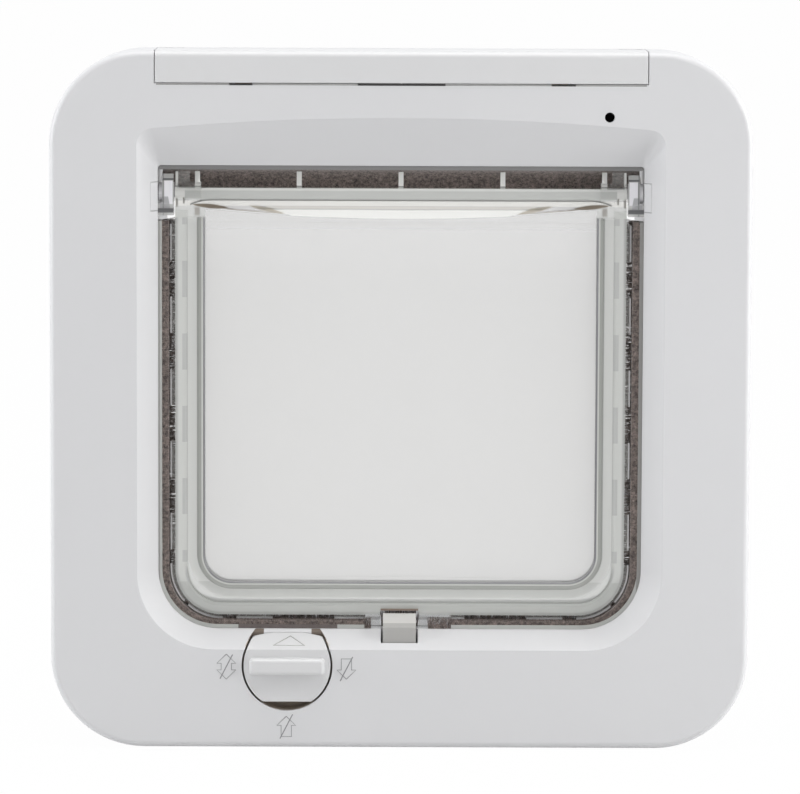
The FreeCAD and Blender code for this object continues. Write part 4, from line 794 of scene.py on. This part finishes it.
class Workshop:
    """The loaded frame, and the ways in which pieces are made and dressed."""

    def __init__(self, frame: Mapping[str, Any]) -> None:
        """Keep the frame's nodes and the body that each rides on."""
        self.nodes: dict[str, bpy.types.Object] = frame["nodes"]
        bodies = frame["record"]["behaviour"]["bodies"]
        self.body_of = {node: body for body, members in bodies.items() for node in members}

    def dress(self, finish: Finish, *nodes: str) -> None:
        """Give CAD nodes a finish."""
        for node in nodes:
            slots = self.nodes[node].data.materials
            slots.clear()
            slots.append(finish.material())

    def enter(self, piece: bpy.types.Object, finish: Finish, body: str) -> None:
        """Put a finished piece on its body.

        Args:
            piece: The piece, in place.
            finish: Its finish.
            body: The body that it rides on.
        """
        if not piece.data.materials:
            piece.data.materials.append(finish.material())
        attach(piece, body)
        LOG.info("%s: %d faces on %s", piece.name, len(piece.data.polygons), body)

    def smooth(self, node: str, finish: Finish, front: float = 180.0) -> None:
        """Stand a smooth-shaded copy in for a CAD node with rounded edges.

        Args:
            node: The CAD node.
            finish: The copy's finish.
            front: Edges of flat front faces that turn by more than this many degrees stay crisp.
        """
        mesh = self.nodes[node].data.copy()
        mesh.name = node + "_skin"
        mesh.materials.clear()
        form = bmesh.new()
        form.from_mesh(mesh)
        bmesh.ops.remove_doubles(form, verts=form.verts, dist=WELD)
        bmesh.ops.dissolve_limit(
            form, angle_limit=math.radians(FLAT_ANGLE), verts=form.verts, edges=form.edges, delimit={"NORMAL"}
        )
        form.to_mesh(mesh)
        form.free()
        mesh.polygons.foreach_set("use_smooth", [True] * len(mesh.polygons))
        mesh.set_sharp_from_angle(angle=math.radians(SHARP_ANGLE))
        self.crisp_front(mesh, math.radians(front))
        piece = stand(node + "_skin", mesh)
        weights = piece.modifiers.new("flat faces first", "WEIGHTED_NORMAL")
        weights.keep_sharp = True
        self.settle(piece)
        self.enter(piece, finish, self.body_of[node])
        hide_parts(node)

    @staticmethod
    def crisp_front(mesh: bpy.types.Mesh, turn: float) -> None:
        """Keep the edges crisp where a flat front face turns by more than an angle."""
        form = bmesh.new()
        form.from_mesh(mesh)
        for edge in form.edges:
            flat = [face.normal.y < -FLAT_COSINE for face in edge.link_faces]
            if len(flat) == 2 and flat[0] != flat[1] and edge.calc_face_angle() > turn:
                edge.smooth = False
        form.to_mesh(mesh)
        form.free()

    @staticmethod
    def settle(piece: bpy.types.Object) -> None:
        """Turn a piece with modifiers into a plain mesh."""
        graph = bpy.context.evaluated_depsgraph_get()
        mesh = bpy.data.meshes.new_from_object(
            piece.evaluated_get(graph), preserve_all_data_layers=True, depsgraph=graph
        )
        piece.modifiers.clear()
        piece.data = mesh


def lines_object(name: str, lines: Iterable[Sequence[Vector]], closed: bool = False) -> bpy.types.Object:
    """Make an object of bare edges.

    Args:
        name: Its name.
        lines: The lines' points.
        closed: Whether each line ends where it starts.

    Returns:
        The object.
    """
    points: list[Vector] = []
    edges: list[tuple[int, int]] = []
    for line in lines:
        first = len(points)
        points.extend(line)
        edges.extend((first + i, first + i + 1) for i in range(len(line) - 1))
        if closed:
            edges.append((len(points) - 1, first))
    mesh = bpy.data.meshes.new(name)
    mesh.from_pydata(points, edges, [])
    return stand(name, mesh)


class NodeGroup:
    """A Geometry Nodes tree with named inputs, which ends in real, dressed geometry."""

    def __init__(self, name: str) -> None:
        """Start an empty tree."""
        self.group = bpy.data.node_groups.new(name, "GeometryNodeTree")
        for way in ("INPUT", "OUTPUT"):
            self.group.interface.new_socket("Geometry", in_out=way, socket_type="NodeSocketGeometry")
        self.start = self.group.nodes.new("NodeGroupInput")

    def take(self, name: str, kind: str, value: Any = None) -> None:
        """Add a named input."""
        socket = self.group.interface.new_socket(name, in_out="INPUT", socket_type=kind)
        if value is not None:
            socket.default_value = value

    def given(self, name: str) -> bpy.types.NodeSocket:
        """The socket that carries a named input."""
        return self.start.outputs[name]

    def add(
        self, kind: str, settings: Mapping[str, Any] | None = None, inputs: Mapping[Any, Any] | None = None
    ) -> bpy.types.Node:
        """Add a node.

        Args:
            kind: The node's type.
            settings: Its settings.
            inputs: Values or sockets, by name or place.

        Returns:
            The node.
        """
        node = self.group.nodes.new(kind)
        for key, value in (settings or {}).items():
            setattr(node, key, value)
        for key, value in (inputs or {}).items():
            if isinstance(value, bpy.types.NodeSocket):
                self.group.links.new(value, node.inputs[key])
            else:
                node.inputs[key].default_value = value
        return node

    def end(self, geometry: bpy.types.NodeSocket) -> None:
        """Realize the instances, set the material and close the tree."""
        real = self.add("GeometryNodeRealizeInstances", inputs={"Geometry": geometry})
        values = {"Geometry": real.outputs[0], "Material": self.given("Finish")}
        dressed = self.add("GeometryNodeSetMaterial", inputs=values)
        self.add("NodeGroupOutput", inputs={0: dressed.outputs[0]})

    def run(self, piece: bpy.types.Object, **values: Any) -> None:
        """Run the tree on a piece and keep the result as its mesh.

        Args:
            piece: The object that gives the geometry.
            values: The inputs, by name with underscores for spaces.
        """
        modifier = piece.modifiers.new(self.group.name, "NODES")
        modifier.node_group = self.group
        for item in self.group.interface.items_tree:
            key = item.name.replace(" ", "_")
            if item.in_out == "INPUT" and key in values:
                modifier[item.identifier] = values[key]
        piece.update_tag()
        Workshop.settle(piece)


def bristle_tree() -> NodeGroup:
    """Tree that grows pointed bristles along lines.

    The lines carry two attributes: lean, the way that the bristles point, and reach, their length.
    """
    tree = NodeGroup("bristle_rows")
    tree.take("Spacing", "NodeSocketFloat", 0.25 * MM)
    tree.take("Thickness", "NodeSocketFloat", 0.07 * MM)
    tree.take("Spread", "NodeSocketFloat", 0.2)
    tree.take("Shortest", "NodeSocketFloat", 0.82)
    tree.take("Seed", "NodeSocketInt", 1)
    tree.take("Finish", "NodeSocketMaterial")
    curve = tree.add("GeometryNodeMeshToCurve", inputs={"Mesh": tree.given("Geometry")})
    steps = {"Curve": curve.outputs[0], "Length": tree.given("Spacing")}
    roots = tree.add("GeometryNodeCurveToPoints", {"mode": "LENGTH"}, steps)
    lean = tree.add("GeometryNodeInputNamedAttribute", {"data_type": "FLOAT_VECTOR"}, {"Name": "lean"})
    reach = tree.add("GeometryNodeInputNamedAttribute", {"data_type": "FLOAT"}, {"Name": "reach"})
    ways = {0: (-1.0, -1.0, -1.0), 1: (1.0, 1.0, 1.0), "Seed": tree.given("Seed")}
    wander = tree.add("FunctionNodeRandomValue", {"data_type": "FLOAT_VECTOR"}, ways)
    off = {0: wander.outputs[0], "Scale": tree.given("Spread")}
    spread = tree.add("ShaderNodeVectorMath", {"operation": "SCALE"}, off)
    aim = tree.add("ShaderNodeVectorMath", {"operation": "ADD"}, {0: lean.outputs[0], 1: spread.outputs[0]})
    turn = tree.add("FunctionNodeAlignRotationToVector", {"axis": "Z"}, {"Vector": aim.outputs[0]})
    trim = {2: tree.given("Shortest"), 3: 1.0, "Seed": tree.given("Seed")}
    cut = tree.add("FunctionNodeRandomValue", {"data_type": "FLOAT"}, trim)
    length = tree.add("ShaderNodeMath", {"operation": "MULTIPLY"}, {0: reach.outputs[0], 1: cut.outputs[1]})
    sizes = {"X": tree.given("Thickness"), "Y": tree.given("Thickness"), "Z": length.outputs[0]}
    scale = tree.add("ShaderNodeCombineXYZ", inputs=sizes)
    point = {"Vertices": 3, "Radius Top": 0.45, "Radius Bottom": 1.0, "Depth": 1.0}
    strand = tree.add("GeometryNodeMeshCone", {"fill_type": "NONE"}, point)
    stood = {
        "Points": roots.outputs["Points"],
        "Instance": strand.outputs["Mesh"],
        "Rotation": turn.outputs[0],
        "Scale": scale.outputs[0],
    }
    rows = tree.add("GeometryNodeInstanceOnPoints", inputs=stood)
    tree.end(rows.outputs[0])
    return tree


def line_tree() -> NodeGroup:
    """Tree that gives bare edges a round section, for printed and engraved lines."""
    tree = NodeGroup("drawn_line")
    tree.take("Radius", "NodeSocketFloat", 0.1 * MM)
    tree.take("Finish", "NodeSocketMaterial")
    curve = tree.add("GeometryNodeMeshToCurve", inputs={"Mesh": tree.given("Geometry")})
    ring = tree.add("GeometryNodeCurvePrimitiveCircle", inputs={"Resolution": 6, "Radius": tree.given("Radius")})
    sweep = {"Curve": curve.outputs[0], "Profile Curve": ring.outputs[0], "Fill Caps": True}
    tree.end(tree.add("GeometryNodeCurveToMesh", inputs=sweep).outputs[0])
    return tree


@dataclass
class IndoorHousing:
    """The white front moulding, its back, the battery cover and the blocks beside the hinges."""

    shop: Workshop
    recess_turn: float = 14.0
    joint_y: float = -23.82 * MM
    joint_z: float = 94.98 * MM
    joint_r: float = 0.34 * MM
    shade_half: float = 73.0 * MM
    shade_r: float = 0.31 * MM
    dark_stretches: tuple[tuple[float, float], ...] = (
        (-51.2 * MM, -44.3 * MM), (-13.0 * MM, 13.1 * MM), (44.7 * MM, 51.9 * MM),
    )

    def joint(self) -> None:
        """Lay the shadow along the battery cover's lower joint, darker at the slots."""
        whole = ((-self.shade_half, self.shade_half),)
        for name, stretches, radius, finish in (
            ("cover_joint", self.dark_stretches, self.joint_r, SEAM_SHADOW),
            ("cover_joint_shade", whole, self.shade_r, SHADE),
        ):
            lines = [[Vector((x, self.joint_y, self.joint_z)) for x in ends] for ends in stretches]
            piece = lines_object(name, lines)
            line_tree().run(piece, Radius=radius, Finish=finish.material())
            self.shop.enter(piece, finish, "battery_cover")

    def build(self) -> None:
        """Dress the mouldings."""
        self.joint()
        self.shop.smooth("front_housing", FASCIA, self.recess_turn)
        self.shop.smooth("battery_cover", COVER)
        self.shop.smooth("rear_cover", WHITE)
        self.shop.dress(WHITE, "hinge_block_left", "hinge_block_right")
        self.shop.dress(SCREW, "housing_screws")


@dataclass
class DoorTunnel:
    """The liner, the aerial round it and the frame on the outdoor side."""

    shop: Workshop

    def build(self) -> None:
        """Dress the pieces."""
        self.shop.smooth("tunnel", WHITE)
        self.shop.smooth("outdoor_frame", WHITE)
        self.shop.smooth("screw_caps", WHITE)
        self.shop.dress(SCREW, "fixing_screws")
        self.shop.smooth("aerial_coil", AERIAL)


@dataclass
class ClearFlap:
    """The clear flap, the pins that it turns on and the clips round them."""

    shop: Workshop
    clip_inner: float = 68.25 * MM
    clip_outer: float = 71.6 * MM
    wall: float = 72.98 * MM
    clip_section: tuple[tuple[float, float], ...] = (
        (-14.6 * MM, 55.2 * MM), (-8.4 * MM, 55.2 * MM), (-8.4 * MM, 58.7 * MM),
        (-14.15 * MM, 58.7 * MM), (-14.15 * MM, 67.7 * MM), (-14.6 * MM, 67.7 * MM),
    )

    def clip(self, side: int, name: str) -> None:
        """Make the clip round one pin, with a foot on the wall.

        Args:
            side: -1 for the left and 1 for the right.
            name: The clip's name.
        """
        form = bmesh.new()
        foot = self.clip_section[:3] + ((self.clip_section[0][0], self.clip_section[2][1]),)
        for section, x0, x1 in (
            (self.clip_section, self.clip_inner, self.clip_outer),
            (foot, self.clip_outer, self.wall),
        ):
            corners = [form.verts.new((side * x0, y, z)) for y, z in section]
            face = form.faces.new(corners)
            moved = bmesh.ops.extrude_face_region(form, geom=[face])["geom"]
            for vert in (v for v in moved if isinstance(v, bmesh.types.BMVert)):
                vert.co.x = side * x1
        bmesh.ops.recalc_face_normals(form, faces=form.faces)
        mesh = bpy.data.meshes.new(name)
        form.to_mesh(mesh)
        form.free()
        self.shop.enter(stand(name, mesh), CLIP, "housing")

    def build(self) -> None:
        """Dress the pieces and make the clips."""
        self.clip(-1, "pin_clip_left")
        self.clip(1, "pin_clip_right")
        self.shop.smooth("flap", CLEAR)
        self.shop.smooth("hinge_pin_left", ACETAL)
        self.shop.smooth("hinge_pin_right", ACETAL)


@dataclass
class BrushSeals:
    """The top brush and the two lower ones, bristle by bristle."""

    shop: Workshop
    spacing: float = 0.15 * MM
    thickness: float = 0.085 * MM
    spread: float = 0.22
    least_reach: float = 0.3 * MM
    top_pitch: float = 0.55 * MM
    corner_r: float = 16.8 * MM
    corner_steps: int = 14
    front_rows: tuple[float, ...] = (-13.88 * MM, -13.4 * MM, -12.3 * MM, -11.2 * MM)
    rear_rows: tuple[float, ...] = (-9.25 * MM, -9.05 * MM, -8.8 * MM, -8.55 * MM, -8.3 * MM)
    front_reach: float = 2.3 * MM
    rear_reach: float = 4.4 * MM
    floor_trim: float = 0.22
    strip: float = 1.15 * MM
    catch_end: float = 8.7 * MM
    notch_end: float = 5.4 * MM
    notch_reach: float = 5.9 * MM
    pivot_y: float = -11.0 * MM
    pivot_z: float = 62.0 * MM
    swing: float = 6.8 * MM
    top_low: float = 62.7 * MM

    def build(self) -> None:
        """Grow the loose bristles, and dress the pile and the strips that hold it."""
        tree = bristle_tree()
        self.shop.dress(STRIP, "top_brush_backing", "left_brush_backing", "right_brush_backing")
        self.shop.dress(PILE, "top_brush_pile", "left_brush_pile", "right_brush_pile")
        self.top(tree)
        self.lower(tree, -1, "left_brush")
        self.lower(tree, 1, "right_brush")

    def grow(
        self, tree: NodeGroup, name: str, rows: list[tuple[list[Vector], list[Vector], list[float]]], seed: int
    ) -> None:
        """Grow one brush.

        Args:
            tree: The bristle tree.
            name: The brush's name.
            rows: For each row, its root points, the way that the bristles point there, and their lengths.
            seed: The random seed.
        """
        piece = lines_object(name + "_bristles", [points for points, _, _ in rows])
        mesh = piece.data
        leans = [c for _, ways, _ in rows for way in ways for c in way]
        lengths = [length for _, _, reaches in rows for length in reaches]
        mesh.attributes.new("lean", "FLOAT_VECTOR", "POINT").data.foreach_set("vector", leans)
        mesh.attributes.new("reach", "FLOAT", "POINT").data.foreach_set("value", lengths)
        sizes = {"Spacing": self.spacing, "Thickness": self.thickness, "Spread": self.spread}
        tree.run(piece, **sizes, Seed=seed, Finish=PILE.material())
        self.shop.enter(piece, PILE, "housing")

    def top(self, tree: NodeGroup) -> None:
        """Grow the top brush, trimmed round the flap's swing."""
        low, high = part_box("top_brush_pile")
        rows = []
        count = int((high.y - low.y) / self.top_pitch)
        for i in range(count + 1):
            y = low.y + i * self.top_pitch
            away = y - self.pivot_y
            rise = math.sqrt(max(self.swing**2 - away**2, 0.0))
            reach = high.z - max(self.pivot_z + rise, self.top_low)
            ends = [Vector((x, y, high.z)) for x in (low.x, high.x)]
            rows.append((ends, [Vector((0.0, 0.0, -1.0))] * 2, [max(reach, self.least_reach)] * 2))
        self.grow(tree, "top_brush", rows, 3)

    def lower(self, tree: NodeGroup, side: int, name: str) -> None:
        """Grow one lower brush: down the wall, round the corner and along the floor.

        Args:
            tree: The bristle tree.
            side: -1 for the left and 1 for the right.
            name: The brush's name.
        """
        low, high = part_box(name + "_pile")
        outer = low.x if side < 0 else high.x
        inner = high.x if side < 0 else low.x
        centre = Vector((outer - side * self.corner_r, 0.0, low.z + self.corner_r))
        points = [Vector((outer, 0.0, high.z)), Vector((outer, 0.0, centre.z))]
        ways = [Vector((-side, 0.0, 0.0))] * 2
        for i in range(1, self.corner_steps):
            angle = math.pi / 2 * i / self.corner_steps
            out = Vector((side * math.cos(angle), 0.0, -math.sin(angle)))
            points.append(centre + out * self.corner_r)
            ways.append(-out)
        points += [Vector((centre.x, 0.0, low.z)), Vector((inner, 0.0, low.z))]
        ways += [Vector((0.0, 0.0, 1.0))] * 2
        levels = [(y, self.front_reach) for y in self.front_rows]
        levels += [(y, self.rear_reach) for y in self.rear_rows]
        rows = [
            ([Vector((p.x, y, p.z)) for p in points], ways, [reach * (1.0 - self.floor_trim * abs(w.z)) for w in ways])
            for y, reach in levels
        ]
        root = low.z - self.strip
        for y in self.front_rows:
            ends = [Vector((x, y, root)) for x in (inner, side * self.catch_end)]
            rows.append((ends, [Vector((0.0, 0.0, 1.0))] * 2, [self.front_reach + self.strip] * 2))
        for y in self.rear_rows[1:]:
            ends = [Vector((x, y, root)) for x in (side * self.notch_end, 0.0)]
            rows.append((ends, [Vector((0.0, 0.0, 1.0))] * 2, [self.notch_reach] * 2))
        self.grow(tree, name, rows, 7 + side)


class Travel(Enum):
    """Which way a lock position lets the cat go."""

    NEITHER = "both ways shut"
    IN_SHUT = "way in shut"
    OUT_SHUT = "way out shut"


@dataclass
class LockDial:
    """The dial, its engraved pointer, and the symbols round it."""

    shop: Workshop
    face_y: float = -24.0 * MM
    line_r: float = 0.18 * MM
    stroke_r: float = 0.2 * MM
    sink: float = 0.10 * MM
    foot: tuple[float, float] = (-22.2 * MM, -74.1 * MM)
    apex: tuple[float, float] = (-18.1 * MM, -71.8 * MM)
    across: tuple[float, float, float] = (-37.9 * MM, -32.9 * MM, -28.6 * MM)
    arrow_half: float = 3.1 * MM
    double_half: float = 3.8 * MM
    head: float = 2.8 * MM
    wing: float = 2.85 * MM
    shaft: float = 1.55 * MM
    stroke_x: float = 1.9 * MM
    stroke_z: float = 3.7 * MM

    def build(self) -> None:
        """Dress the lock and draw its marks."""
        self.shop.smooth("lock_dial", DIAL)
        self.shop.dress(ACETAL, "dial_pinion", "lock_slide")
        self.shop.dress(SCREW, "pinion_screw")
        tree = line_tree()
        self.pointer(tree)
        self.symbol(tree, Travel.NEITHER, Vector((-52.1 * MM, 0.0, -80.3 * MM)))
        self.symbol(tree, Travel.IN_SHUT, Vector((-15.9 * MM, 0.0, -80.9 * MM)))
        self.symbol(tree, Travel.OUT_SHUT, Vector((-34.0 * MM, 0.0, -98.5 * MM)))

    def pointer(self, tree: NodeGroup) -> None:
        """Draw the triangle on the dial's slope."""
        corners = [Vector((x, *level)) for x, level in zip(self.across, (self.foot, self.apex, self.foot))]
        piece = lines_object("dial_pointer", [corners], closed=True)
        tree.run(piece, Radius=self.line_r, Finish=POINTER.material())
        self.shop.enter(piece, POINTER, "dial")

    def symbol(self, tree: NodeGroup, travel: Travel, middle: Vector) -> None:
        """Draw one outline arrow with a stroke through it.

        Args:
            tree: The line tree.
            travel: What the position shuts.
            middle: The middle of the symbol.
        """
        double = travel is Travel.NEITHER
        half = self.double_half if double else self.arrow_half
        neck = half - self.head
        right = [(0.0, half), (self.wing, neck), (self.shaft, neck)]
        right += [(self.shaft, -neck), (self.wing, -neck)] if double else [(self.shaft, -half)]
        outline = right + ([(0.0, -half)] if double else []) + [(-x, z) for x, z in reversed(right[1:])]
        up = -1 if travel is Travel.IN_SHUT else 1
        y = self.face_y + self.sink
        ring = [Vector((middle.x + x, y, middle.z + up * z)) for x, z in outline]
        stroke = [Vector((middle.x + s * self.stroke_x, y, middle.z + s * self.stroke_z)) for s in (-1, 1)]
        name = "symbol_" + travel.name.lower()
        for part, lines, radius in (
            ("_outline", [ring + ring[:1]], self.line_r),
            ("_stroke", [stroke], self.stroke_r),
        ):
            piece = lines_object(name + part, lines)
            tree.run(piece, Radius=radius, Finish=INK.material())
            self.shop.enter(piece, INK, "housing")


@dataclass
class ElectricCatch:
    """The catch in the sill and the solenoid under it."""

    shop: Workshop

    def build(self) -> None:
        """Dress the pieces."""
        self.shop.smooth("catch", CATCH)
        self.shop.smooth("plunger", PRESSED)
        self.shop.dress(PRESSED, "solenoid_bracket")
        self.shop.smooth("solenoid_coil", SOLENOID)
        self.shop.dress(SPRING, "catch_spring")


@dataclass
class Electronics:
    """The board, its lamp and button, and the cells with their contacts."""

    shop: Workshop

    def build(self) -> None:
        """Dress the pieces."""
        self.shop.dress(BOARD, "circuit_board")
        self.shop.smooth("status_lamp", LAMP)
        self.shop.smooth("memory_button", BUTTON)
        self.shop.dress(SPRING, "battery_contacts")
        for number in range(1, 5):
            self.shop.smooth("battery_cell_%d" % number, CELL)


@dataclass
class Studio:
    """Pale floor, soft lamps, plain world and the camera."""

    distance: float = 1.47
    elevation: float = 6.2
    roll: float = 0.22
    pixels_per_mm: float = 3.339
    image_width: int = 800
    target: tuple[float, float, float] = (-0.07 * MM, -24.0 * MM, 1.61 * MM)
    floor_z: float = -105.4 * MM
    floor_half: float = 12.0
    floor_white: float = 0.985

    def build(self) -> None:
        """Set the studio up."""
        self.floor()
        self.world()
        self.lamps()
        self.camera()

    def backdrop_shader(self, bench: Bench, lit: Wire, share: float) -> Wire:
        """Mix a lit shader with plain white where the camera, gloss or clear plastic sees it.

        Args:
            bench: The tree.
            lit: The shader that other light sees.
            share: How much of the white shows.

        Returns:
            The mixed shader.
        """
        camera, glossy, through = (
            bench.add("ShaderNodeLightPath", output="Is %s Ray" % name) for name in ("Camera", "Glossy", "Transmission")
        )
        white = bench.add("ShaderNodeEmission", inputs={"Color": (1.0, 1.0, 1.0, 1.0), "Strength": 1.0})
        return bench.add("ShaderNodeMixShader", inputs=(camera.most(glossy).most(through) * share, lit, white))

    def floor(self) -> None:
        """Lay the floor."""
        half = self.floor_half
        corners = [(-half, -half), (half, -half), (half, half), (-half, half)]
        mesh = bpy.data.meshes.new("floor")
        mesh.from_pydata([(x, y, self.floor_z) for x, y in corners], [], [(0, 1, 2, 3)])
        bench = Bench("pale_floor")
        mottle = bench.mix(bench.noise(2.0), (0.67, 0.67, 0.67), (0.71, 0.71, 0.71))
        lit = bench.add("ShaderNodeBsdfDiffuse", inputs={"Color": mottle})
        shader = self.backdrop_shader(bench, lit, self.floor_white)
        bench.add("ShaderNodeOutputMaterial", inputs={"Surface": shader})
        mesh.materials.append(bench.owner)
        stand("floor", mesh)

    def world(self) -> None:
        """Light the world, brighter behind the object than before it, and show it white."""
        world = bpy.data.worlds.new("studio")
        bpy.context.scene.world = world
        bench = Bench(world)
        way = bench.add("ShaderNodeTexCoord", output="Generated")
        depth = bench.add("ShaderNodeSeparateXYZ", inputs=(way,), output="Y")
        ends = {"Value": depth, "From Min": -0.3, "From Max": 0.6, "To Min": 0.29, "To Max": 0.86}
        level = bench.add("ShaderNodeMapRange", inputs=ends)
        soft = bench.add("ShaderNodeBackground", inputs={"Color": (0.97, 0.98, 1.0, 1.0), "Strength": level})
        white = bench.add("ShaderNodeBackground", inputs={"Color": (1.0, 1.0, 1.0, 1.0), "Strength": 1.0})
        seen = bench.add("ShaderNodeLightPath", output="Is Camera Ray")
        mixed = bench.add("ShaderNodeMixShader", inputs=(seen, soft, white))
        bench.add("ShaderNodeOutputWorld", inputs={"Surface": mixed})

    def lamps(self) -> None:
        """Hang a large soft lamp overhead and one at each side."""
        self.lamp("overhead", Vector((0.0, -0.42, 1.7)), 1.2, 22.5, (1.0, 0.995, 0.985))
        self.lamp("right", Vector((1.2, -0.32, 0.25)), 0.8, 12.0, (1.0, 1.0, 0.995))
        self.lamp("left", Vector((-1.7, -0.33, 0.3)), 1.0, 18.5, (0.98, 0.988, 1.0))

    @staticmethod
    def lamp(name: str, place: Vector, size: float, power: float, colour: Colour) -> None:
        """Hang one square lamp that looks at the object.

        Args:
            name: Its name.
            place: Where it hangs.
            size: Its side.
            power: Its power in watts.
            colour: Its colour.
        """
        light = bpy.data.lights.new(name, "AREA")
        light.size = size
        light.energy = power
        light.color = colour
        lamp = stand(name, light)
        lamp.location = place
        lamp.rotation_mode = "QUATERNION"
        lamp.rotation_quaternion = (-place).to_track_quat("-Z", "Y")

    def camera(self) -> None:
        """Stand the camera where the photograph's stood."""
        rise = math.radians(self.elevation)
        back = Vector((0.0, -math.cos(rise), math.sin(rise)))
        data = bpy.data.cameras.new("camera")
        data.sensor_width = 36.0
        data.lens = data.sensor_width * self.pixels_per_mm * self.distance / MM / self.image_width
        data.clip_end = 60.0
        camera = stand("camera", data)
        camera.location = Vector(self.target) + back * self.distance
        camera.rotation_mode = "QUATERNION"
        turn = (-back).to_track_quat("-Z", "Y")
        camera.rotation_quaternion = turn @ Quaternion((0.0, 0.0, 1.0), math.radians(self.roll))
        bpy.context.scene.camera = camera


def main() -> None:
    """Build everything in order."""
    logging.basicConfig(level=logging.INFO, format="%(message)s")
    bpy.context.scene.view_settings.view_transform = "Standard"
    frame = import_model()
    shop = Workshop(frame)
    for assembly in (
        IndoorHousing(shop),
        DoorTunnel(shop),
        ClearFlap(shop),
        BrushSeals(shop),
        LockDial(shop),
        ElectricCatch(shop),
        Electronics(shop),
        Studio(),
    ):
        assembly.build()
        LOG.info("built %s", type(assembly).__name__)


if __name__ == "__main__":
    main()
